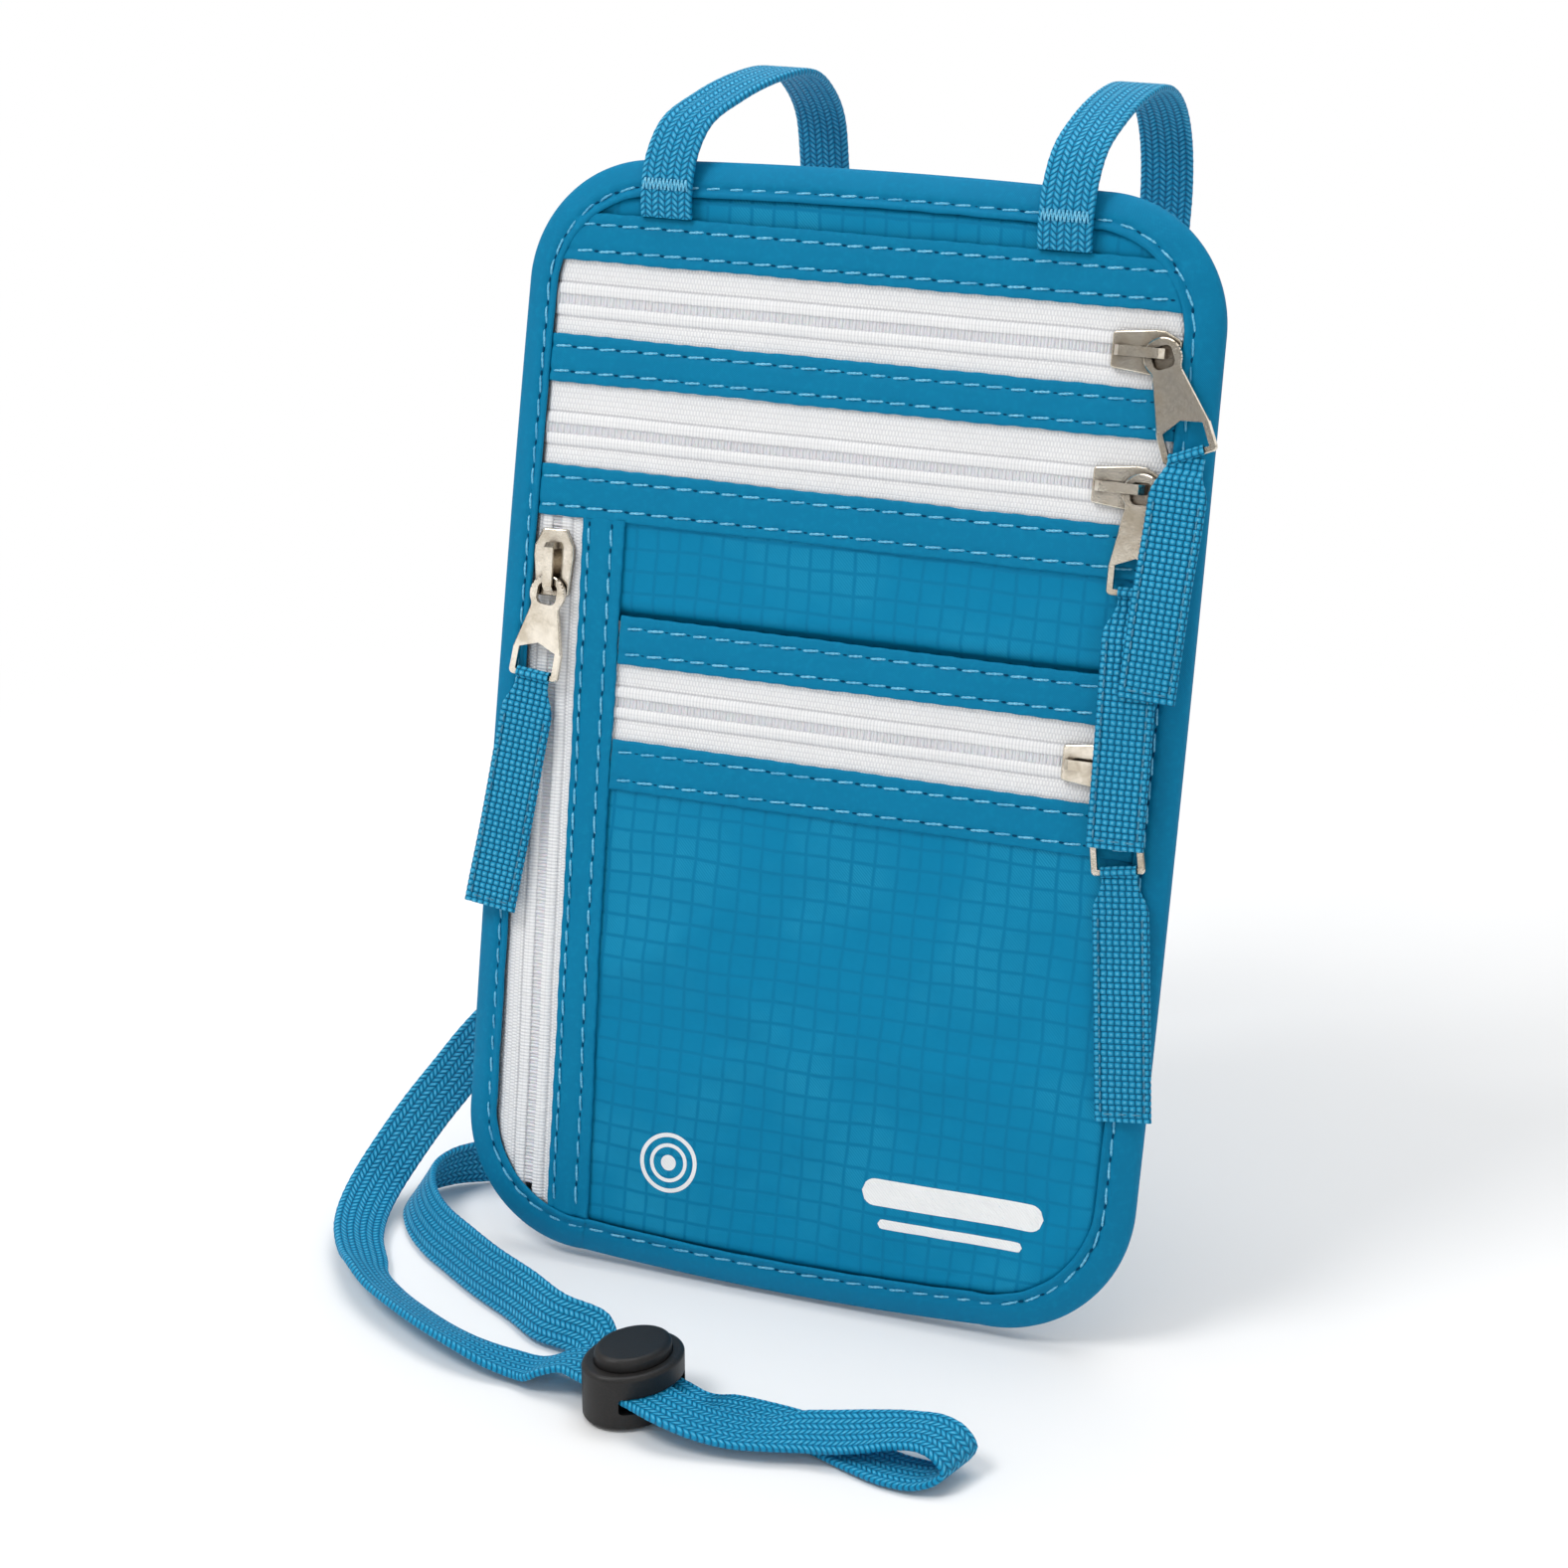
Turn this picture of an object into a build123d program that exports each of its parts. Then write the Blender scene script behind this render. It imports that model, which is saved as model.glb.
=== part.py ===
from build123d import *
from collections import namedtuple
from math import cos, radians, sin, sqrt, tan
import os

# Neck pouch wallet, leaning back on its bottom edge, with its neck strap looped
# over the top, down behind it and out to a cord lock on the ground.
#
# Millimetres, X to the right, Y to the back, Z up. The origin is the middle of the
# pouch's bottom edge, on the ground. The flat parts are drawn in the pouch plane:
# u across to the right, v up the pouch, w out of its front.

os.makedirs("parts", exist_ok=True)

# ---------------------------------------------------------------- pouch dimensions
LEAN = 13.82            # how far the pouch leans back from upright, degrees
LIFT = 0.3              # keeps the rounded bottom edge on the ground
POUCH_W, POUCH_H = 133.0, 206.9
R_TOP, R_BOTTOM = 24.0, 27.0
BOW = 1.2               # the four edges bulge outwards by this much
CORNER_BOW = BOW * 0.62
BIND = 6.6              # width of the edge binding, seen from the front
RIM_W, INNER_W = 1.2, 3.7      # half thickness of the binding at rim and inner edge
BIND_T = 0.7            # thickness of the folded binding tape
FOLD_INSET, FOLD_W = 0.8, 0.4  # where the hollow ends, short of the rim

SHEET_IN = 6.3          # the sewn-in sheets stop this far inside the outline
PANEL_W0, PANEL_T = 2.4, 0.4   # front panels and zip tapes
BAND_IN = BIND + 0.25
BAND_W0, BAND_T = 2.95, 0.55   # seam bands lie on the tapes
SEAM_GAP = 0.1          # sheets stop this far short of the seam under a band
COIL_IN = SHEET_IN + 1.0
COIL_W0, COIL_T = 1.4, 0.9
COIL_OUT = 2.75         # half width of the closed coil
HALF_GAP = 0.75         # half the gap between tapes, where the slider's post runs
COIL_END = 1.0          # the coil stops this far short of the tape's end

BEYOND_U, BEYOND_V = 70.0, 210.0       # clear of the outline at the sides and top
OVERLAY_U = -45.6       # left end of the lower pocket, under the side band

# sheets behind the front: inset, lowest w, thickness
INNER_SHEETS = {
    "back_panel": (SHEET_IN, -2.8, 0.4),
    "rfid_lining_back": (5.0, -2.0, 0.15),
    "pocket_divider": (3.2, -1.2, 0.2),
    "rfid_lining_front": (2.0, -0.5, 0.15),
}

# seam bands from the top down: left end u, lowest v, highest v
SEAM_BANDS = {
    1: (-BEYOND_U, 186.5, 195.5),
    2: (-BEYOND_U, 164.2, 173.0),
    3: (-BEYOND_U, 139.5, 149.0),
    4: (-40.6, 113.5, 122.5),
    5: (-39.8, 90.0, 99.5),
}
# corners (u, v) of the band beside the side zip
SIDE_BAND = [(-50.6, 139.3), (-46.7, 0), (-37.8, 0), (-40.4, 60), (-42.0, 139.3)]


def seam(number):
    """Height v of the seam under the middle of a band."""
    _, low, high = SEAM_BANDS[number]
    return (low + high) / 2


# zips across the pouch: left end u, lowest v of the tapes, centre v, highest v
CROSS_ZIPS = {
    1: (-BEYOND_U, seam(2) + SEAM_GAP, 179.3, seam(1) - SEAM_GAP),
    2: (-BEYOND_U, seam(3) + SEAM_GAP, 155.6, seam(2) - SEAM_GAP),
    3: (OVERLAY_U, seam(5) + SEAM_GAP, 106.3, SEAM_BANDS[4][2] - 1.0),
}

# the zip down the left side leans in towards the bottom
SIDE_ZIP_U = -55.5      # its centre at the pull's pivot
SIDE_ZIP_TOP = 142.0
SIDE_ZIP_TILT = 2.05    # degrees
SIDE_SLIDER_V = 124.6
SIDE_PIVOT_V = SIDE_SLIDER_V + 3.1


# ---------------------------------------------------------------- frames and helpers
SIN_LEAN, COS_LEAN = sin(radians(LEAN)), cos(radians(LEAN))


def at(u, v, w=0.0):
    """A point of the pouch plane in the XYZ frame."""
    return (u, v * SIN_LEAN - w * COS_LEAN, LIFT + v * COS_LEAN + w * SIN_LEAN)


def on_face(u, v, turn=0.0):
    """A plane at (u, v) of the pouch, its x turned by the given degrees from u towards v."""
    angle = radians(turn)
    x_dir = (cos(angle), sin(angle) * SIN_LEAN, sin(angle) * COS_LEAN)
    return Plane(origin=at(u, v), x_dir=x_dir, z_dir=(0, -COS_LEAN, SIN_LEAN))


FACE = on_face(0, 0)
# seen from the right: v across the sketch, w up it, u out of it
PROFILE = Plane(origin=at(0, 0), x_dir=(0, SIN_LEAN, COS_LEAN), z_dir=(1, 0, 0))


def save(part, name):
    part.label = name
    export_step(part, "parts/" + name + ".step")


def outline(inset):
    """The closed edge of the pouch, moved inwards; called inside BuildLine."""
    side, top, low = POUCH_W / 2 - inset, POUCH_H - inset, inset
    r_top, r_low = R_TOP - inset * 0.8, R_BOTTOM - inset * 0.8
    # how far the middle of each corner arc lies from the corner's two sides
    cut_top, cut_low = r_top * (1 - sqrt(0.5)), r_low * (1 - sqrt(0.5))
    small, large = CORNER_BOW * 0.4, CORNER_BOW * 0.6

    bottom_left, bottom_right = (-(side - r_low), low + BOW), (side - r_low, low + BOW)
    right_low, right_high = (side - BOW * 0.3, low + r_low), (side - BOW * 0.3, top - r_top)
    top_right, top_left = (side - r_top, top - BOW * 0.5), (-(side - r_top), top - BOW * 0.9)
    left_high, left_low = (-(side - BOW * 0.3), top - r_top - 1), (-(side - BOW * 0.8), low + r_low)
    middle_v = (low + top) / 2

    ThreePointArc(bottom_left, (0, low), bottom_right)
    ThreePointArc(bottom_right, (side - cut_low - small, low + cut_low + large), right_low)
    ThreePointArc(right_low, (side, middle_v), right_high)
    ThreePointArc(right_high, (side - cut_top - small, top - cut_top - small), top_right)
    ThreePointArc(top_right, (0, top), top_left)
    ThreePointArc(top_left, (-(side - cut_top - large), top - cut_top - 0.5 - small), left_high)
    ThreePointArc(left_high, (-side, middle_v), left_low)
    ThreePointArc(left_low, (-(side - cut_low - large), low + cut_low + large), bottom_left)


def box(left, low, right, high):
    """Corners of an upright rectangle in u and v."""
    return [(left, low), (right, low), (right, high), (left, high)]


def sheet(inset, w0, thick, shapes=()):
    """A flat sheet inside the outline, cut to the given corner lists if there are any."""
    with BuildPart() as piece:
        with BuildSketch(FACE.offset(w0)):
            with BuildLine():
                outline(inset)
            make_face()
            if shapes:
                with BuildSketch(mode=Mode.INTERSECT):
                    for corners in shapes:
                        Polygon(*corners, align=None)
        extrude(amount=thick)
    return piece.part


# ---------------------------------------------------------------- binding
def binding():
    """Tape folded round the rim: thickening inwards, hollow and open in the middle."""
    with BuildPart() as piece:
        for side in (1, -1):
            with BuildSketch(FACE.offset(side * RIM_W)):
                with BuildLine():
                    outline(0)
                make_face()
            with BuildSketch(FACE.offset(side * INNER_W)):
                with BuildLine():
                    outline(BIND)
                make_face()
            loft(ruled=True)
        with BuildSketch(FACE.offset(-RIM_W)):
            with BuildLine():
                outline(0)
            make_face()
        extrude(amount=2 * RIM_W)

        # the hollow inside the fold
        for side in (1, -1):
            with BuildSketch(FACE):
                with BuildLine():
                    outline(FOLD_INSET)
                make_face()
            extrude(amount=side * FOLD_W, mode=Mode.SUBTRACT)
            with BuildSketch(FACE.offset(side * FOLD_W)):
                with BuildLine():
                    outline(FOLD_INSET)
                make_face()
            with BuildSketch(FACE.offset(side * (INNER_W - BIND_T))):
                with BuildLine():
                    outline(BIND)
                make_face()
            loft(ruled=True, mode=Mode.SUBTRACT)

        # the opening
        with BuildSketch(FACE.offset(-INNER_W - 1)):
            with BuildLine():
                outline(BIND)
            make_face()
        extrude(amount=2 * INNER_W + 2, mode=Mode.SUBTRACT)
    return piece.part


save(binding(), "binding")


# ---------------------------------------------------------------- sheets and bands
POCKET_WALL_W = 0.12    # half thickness of the lower pocket's back wall
POCKET_WALL_V = 6.0     # its lower end
PANEL_TOP_W = PANEL_W0 + PANEL_T

# (v, w) section of the middle panel: in front from band 3 to band 4, then stepping
# back and running down behind the lower pocket
MIDDLE_SECTION = [
    (seam(3) - SEAM_GAP, PANEL_W0), (seam(3) - SEAM_GAP, PANEL_TOP_W),
    (124.6, PANEL_TOP_W), (121.6, POCKET_WALL_W),
    (POCKET_WALL_V, POCKET_WALL_W), (POCKET_WALL_V, -POCKET_WALL_W),
    (121.9, -POCKET_WALL_W), (124.9, PANEL_W0),
]


def front_panel_middle():
    with BuildPart() as piece:
        with BuildSketch(PROFILE.offset(OVERLAY_U)):
            Polygon(*MIDDLE_SECTION, align=None)
        extrude(amount=120)
        # trim to the pouch outline
        with BuildSketch(FACE.offset(-2)):
            with BuildLine():
                outline(SHEET_IN)
            make_face()
        extrude(amount=8, mode=Mode.INTERSECT)
    return piece.part


def front_sheet(shapes):
    return sheet(SHEET_IN, PANEL_W0, PANEL_T, shapes)


def band(corners):
    return sheet(BAND_IN, BAND_W0, BAND_T, [corners])


for name, (inset, w0, thick) in INNER_SHEETS.items():
    save(sheet(inset, w0, thick), name)

top_box = box(-BEYOND_U, seam(1) + SEAM_GAP, BEYOND_U, BEYOND_V)
save(front_sheet([top_box]), "front_panel_top")
save(front_sheet([box(OVERLAY_U, 0, BEYOND_U, seam(5) - SEAM_GAP)]), "front_panel_lower")
save(front_panel_middle(), "front_panel_middle")

for number, (left, low, high) in SEAM_BANDS.items():
    save(band(box(left, low, BEYOND_U, high)), f"seam_band_{number}")
save(band(SIDE_BAND), "seam_band_side")


# ---------------------------------------------------------------- zips
def coil_sheet(shapes):
    return sheet(COIL_IN, COIL_W0, COIL_T, shapes)


def cross_tape(left, low, centre, high):
    """The two tapes of a zip that runs across the pouch."""
    return front_sheet([
        box(left, low, BEYOND_U, centre - HALF_GAP),
        box(left, centre + HALF_GAP, BEYOND_U, high),
    ])


def cross_coil(left, centre):
    """The two halves of the coil of a zip that runs across the pouch."""
    start = left + COIL_END
    return coil_sheet([
        box(start, centre - COIL_OUT, BEYOND_U, centre - HALF_GAP),
        box(start, centre + HALF_GAP, BEYOND_U, centre + COIL_OUT),
    ])


def side_u(v):
    """Centre of the side zip at height v."""
    return SIDE_ZIP_U + (SIDE_PIVOT_V - v) * tan(radians(SIDE_ZIP_TILT))


def along_side_zip(offset, top):
    """A line beside the side zip's centre line, from v = 0 up to the top."""
    return [(side_u(0) + offset, 0), (side_u(top) + offset, top)]


def upright(u, top):
    return [(u, 0), (u, top)]


def strip(left, right):
    """Corners of the strip between two lines that run upwards."""
    return [*left, *reversed(right)]


def side_tape():
    top = SIDE_ZIP_TOP
    return front_sheet([
        strip(upright(-BEYOND_U, top), along_side_zip(-HALF_GAP, top)),
        strip(along_side_zip(HALF_GAP, top), upright(OVERLAY_U - 0.2, top)),
    ])


def side_coil():
    top = SIDE_ZIP_TOP - COIL_END
    return coil_sheet([
        strip(along_side_zip(-COIL_OUT, top), along_side_zip(-HALF_GAP, top)),
        strip(along_side_zip(HALF_GAP, top), along_side_zip(COIL_OUT, top)),
    ])


for number, (left, low, centre, high) in CROSS_ZIPS.items():
    save(cross_tape(left, low, centre, high), f"zip_{number}_tape")
    save(cross_coil(left, centre), f"zip_{number}_coil")
save(side_tape(), "side_zip_tape")
save(side_coil(), "side_zip_coil")


# ---------------------------------------------------------------- sliders
SLIDER_L = 12.5
PLATE_TOP = 3.95
# half outlines of the plates: distance from the square end, half width
TOP_PLATE = [(0, 3.2), (7.4, 4.0), (9.4, 3.9), (SLIDER_L, 2.4)]
LOW_PLATE = [(0.2, 3.6), (8.4, 3.6), (SLIDER_L - 0.3, 2.0)]
LOW_PLATE_W0, LOW_PLATE_T = 0.3, 0.95
FLANGE_X, FLANGE_Y = 4.2, 3.27         # centre of each side flange
FLANGE_L, FLANGE_T = 7.4, 0.62
FLANGE_W0, FLANGE_H = 1.2, 1.0
POST_X, POST_L, POST_T = 9.6, 3.6, 1.1
POST_W0, POST_H = 1.0, 2.2
SQUARE_LEG, NOSE_LEG = 1.6, 9.4        # centres of the crown's two legs
LEG_HALF = 0.6
CROWN_W = 1.8
CROWN_TOP, CROWN_WINDOW = 6.45, 5.85
CROWN_SHOULDER, CROWN_CHAMFER = 5.6, 0.9       # height and run of its sloping ends
CROWN_FOOT = PLATE_TOP - 0.1

# crown seen from its side: distance along the slider, w
CROWN = [
    (SQUARE_LEG - LEG_HALF, CROWN_FOOT),
    (SQUARE_LEG - LEG_HALF, CROWN_SHOULDER),
    (SQUARE_LEG - LEG_HALF + CROWN_CHAMFER, CROWN_TOP),
    (NOSE_LEG + LEG_HALF - CROWN_CHAMFER, CROWN_TOP),
    (NOSE_LEG + LEG_HALF, CROWN_SHOULDER),
    (NOSE_LEG + LEG_HALF, CROWN_FOOT),
    (NOSE_LEG - LEG_HALF, CROWN_FOOT),
    (NOSE_LEG - LEG_HALF, CROWN_WINDOW),
    (SQUARE_LEG + LEG_HALF, CROWN_WINDOW),
    (SQUARE_LEG + LEG_HALF, CROWN_FOOT),
]


def mirrored(half):
    """Full outline from the half on the +y side."""
    return [(x, -y) for x, y in half] + half[::-1]


def slider(base):
    """A coil-zip slider; base has x towards its nose and z out of the pouch."""
    with BuildPart() as piece:
        with BuildSketch(base.offset(BAND_W0)):
            with BuildLine():
                Polyline(*mirrored(TOP_PLATE), close=True)
            make_face()
            fillet(vertices(), radius=0.7)
        extrude(amount=PLATE_TOP - BAND_W0)
        fillet(faces().sort_by(Axis(base.origin, base.z_dir))[-1].edges(), radius=0.35)
        with BuildSketch(base.offset(LOW_PLATE_W0)):
            with BuildLine():
                Polyline(*mirrored(LOW_PLATE), close=True)
            make_face()
            fillet(vertices(), radius=0.6)
        extrude(amount=LOW_PLATE_T)
        with BuildSketch(base.offset(FLANGE_W0)):
            for side in (1, -1):
                with Locations((FLANGE_X, side * FLANGE_Y)):
                    Rectangle(FLANGE_L, FLANGE_T)
        extrude(amount=FLANGE_H)
        with BuildSketch(base.offset(POST_W0)):
            with Locations((POST_X, 0)):
                SlotOverall(POST_L, POST_T)
        extrude(amount=POST_H)
        # the crown: an arch along the slider, open underneath for the pull
        corner = base.from_local_coords((0, -CROWN_W / 2, 0))
        with BuildSketch(Plane(origin=corner, x_dir=base.x_dir, z_dir=-base.y_dir)):
            with BuildLine():
                Polyline(*CROWN, close=True)
            make_face()
        extrude(amount=-CROWN_W)
    return piece.part


# ---------------------------------------------------------------- pull tabs
PULL_W0, PULL_T = 4.4, 1.0
PULL_MID_W = PULL_W0 + PULL_T / 2
PULL_L = 18.2           # from the pivot to the middle of the bottom bar
PULL_BAR = 1.1          # height of the bottom bar
PULL_LOW = -(PULL_L + PULL_BAR / 2)
RING_R = 3.5
RING_HOLE, RING_HOLE_R = 4.0, 1.2
NECK_HALF, NECK_DROP = 2.5, 1.5        # blade's top end, below the ring's centre
BLADE_HALF, BLADE_Y = 4.9, -13.5       # where the taper ends
FOOT_HALF = 5.0
SLOT_TOP_HALF, SLOT_LOW_HALF = 3.7, 3.75
SLOT_SHOULDER_Y, SLOT_PEAK_Y = -13.4, -12.0


def pull(base, drop):
    """A cast pull tab: ring, tapered blade and slot.

    base has its origin at the pivot and -y down the tab; the ring's centre lies
    the distance drop below the pivot.
    """
    slot_low = PULL_LOW + PULL_BAR
    with BuildPart() as piece:
        with BuildSketch(base.offset(PULL_W0)):
            with Locations((0, -drop)):
                Circle(RING_R)
            with BuildLine():
                Polyline(
                    (-NECK_HALF, -drop - NECK_DROP), (-BLADE_HALF, BLADE_Y),
                    (-FOOT_HALF, PULL_LOW), (FOOT_HALF, PULL_LOW),
                    (BLADE_HALF, BLADE_Y), (NECK_HALF, -drop - NECK_DROP),
                    close=True,
                )
            make_face()
            fillet(vertices().group_by(Axis.Y)[0], radius=0.9)
            # the corners where the ring runs into the blade
            joins = [
                corner for corner in vertices()
                if -drop - 4.2 < corner.Y < -drop - 0.5 and abs(corner.X) > 1.5
            ]
            fillet(joins, radius=1.5)
            with Locations((0, -drop)):
                RectangleRounded(RING_HOLE, RING_HOLE, RING_HOLE_R, mode=Mode.SUBTRACT)
            with BuildLine():
                Polyline(
                    (-SLOT_TOP_HALF, SLOT_SHOULDER_Y), (0, SLOT_PEAK_Y),
                    (SLOT_TOP_HALF, SLOT_SHOULDER_Y),
                    (SLOT_LOW_HALF, slot_low), (-SLOT_LOW_HALF, slot_low),
                    close=True,
                )
            make_face(mode=Mode.SUBTRACT)
        extrude(amount=PULL_T)
        front = faces().sort_by(Axis(base.origin, base.z_dir))[-1]
        chamfer(front.outer_wire().edges(), length=0.2)
    return piece.part


# ---------------------------------------------------------------- pull ribbons
RIBBON_W, RIBBON_T, RIBBON_L = 10.4, 1.0, 45.0
LOOP_W, LOOP_R, LOOP_HOLE_R = 6.6, 1.1, 0.74   # the fold round the bottom bar
RIBBON_NECK_T = 0.7
RIBBON_NECK_START = 0.95       # below the middle of the bar

# turn: degrees from straight down, to the right; shift: to the pull's right;
# path: (distance along the ribbon, w of its middle); neck: length of the narrow part
Ribbon = namedtuple("Ribbon", "turn shift path neck")


def pull_ribbon(base, ribbon):
    """A webbing ribbon, folded double round the bottom bar of the pull at base."""
    half_t = RIBBON_T / 2
    with BuildPart() as piece:
        loop_end = base.from_local_coords((-LOOP_W / 2, -PULL_L, PULL_MID_W))
        with BuildSketch(Plane(origin=loop_end, x_dir=base.y_dir, z_dir=base.x_dir)):
            Circle(LOOP_R)
            Circle(LOOP_HOLE_R, mode=Mode.SUBTRACT)
        extrude(amount=LOOP_W)

        start = base.from_local_coords((ribbon.shift, -PULL_L, 0))
        line = Plane(origin=start, x_dir=on_face(0, 0, ribbon.turn).x_dir, z_dir=FACE.z_dir)
        edge = line.from_local_coords((RIBBON_W / 2, 0, 0))
        with BuildSketch(Plane(origin=edge, x_dir=-line.y_dir, z_dir=-line.x_dir)):
            with BuildLine():
                Polyline(
                    *[(along, w + half_t) for along, w in ribbon.path],
                    *[(along, w - half_t) for along, w in reversed(ribbon.path)],
                    close=True,
                )
            make_face()
        extrude(amount=RIBBON_W)

        # the folded tape narrows where it leaves the slot
        neck_start = base.from_local_coords(
            (0, -PULL_L - RIBBON_NECK_START, PULL_MID_W - RIBBON_NECK_T / 2)
        )
        with BuildSketch(Plane(origin=neck_start, x_dir=base.x_dir, z_dir=base.z_dir)):
            with Locations((0, -ribbon.neck / 2)):
                Rectangle(LOOP_W, ribbon.neck)
        extrude(amount=RIBBON_NECK_T)
    return piece.part


# one slider with its pull and ribbon; slider and pull are the planes they stand on
Runner = namedtuple("Runner", "label slider pull ring_drop ribbon")


def cross_runner(number, slider_u, tilt, ribbon):
    """Runner of a zip across the pouch; its pull swivels round the crown's nose leg."""
    _, _, v, _ = CROSS_ZIPS[number]
    pivot = on_face(slider_u + NOSE_LEG, v, tilt)
    return Runner(f"zip_{{}}_{number}", on_face(slider_u, v), pivot, 0.7, ribbon)


RIBBON_1_PATH = [
    (2.2, 5.2), (2.7, 6.05), (3.6, 6.9), (4.6, 7.2), (13, 7.2), (23, 8.3), (RIBBON_L - 2, 8.3),
]
RIBBON_2_PATH = [(2.2, 5.0), (3.2, 5.4), (7.5, 7.15), (RIBBON_L, 7.15)]
RIBBON_3_PATH = [(2.2, 4.9), (8.0, 4.4), (RIBBON_L, 4.2)]
SIDE_RIBBON_PATH = [(2.2, 4.9), (8.0, 5.0), (RIBBON_L, 5.3)]

RUNNERS = [
    # zip number, u of the slider's square end, tilt of the pull to the right, ribbon
    cross_runner(1, 46.9, 22.0, Ribbon(-2.7, -0.6, RIBBON_1_PATH, 1.5)),
    cross_runner(2, 45.8, 1.0, Ribbon(1.6, 0.6, RIBBON_2_PATH, 3.0)),
    cross_runner(3, 45.3, 10.0, Ribbon(6.5, 0.2, RIBBON_3_PATH, 3.0)),
    # the side pull folds about the bar of its ring that lies under the crown
    Runner(
        "side_zip_{}",
        on_face(side_u(SIDE_SLIDER_V), SIDE_SLIDER_V, 90.0 + SIDE_ZIP_TILT),
        on_face(SIDE_ZIP_U, SIDE_PIVOT_V, -6.0),
        RING_R - 0.75,
        Ribbon(-6.5, 0.0, SIDE_RIBBON_PATH, 3.0),
    ),
]

for runner in RUNNERS:
    save(slider(runner.slider), runner.label.format("slider"))
    save(pull(runner.pull, runner.ring_drop), runner.label.format("pull"))
    save(pull_ribbon(runner.pull, runner.ribbon), runner.label.format("ribbon"))


# ---------------------------------------------------------------- neck strap
STRAP_W, STRAP_T = 10.0, 1.3
SAMPLE_STEP = 9         # rough distance between sections
FOLD_X = 46             # right of this X the strap folds tightly
FOLD_SAMPLES = 3        # sections per span there
CHUNK = 8               # spans lofted at a time; neighbouring lofts share a section
TACK_V, TACK_W0 = 201.4, 5.82
TACK_L, TACK_H, TACK_T = 9.0, 2.2, 0.3

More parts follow.
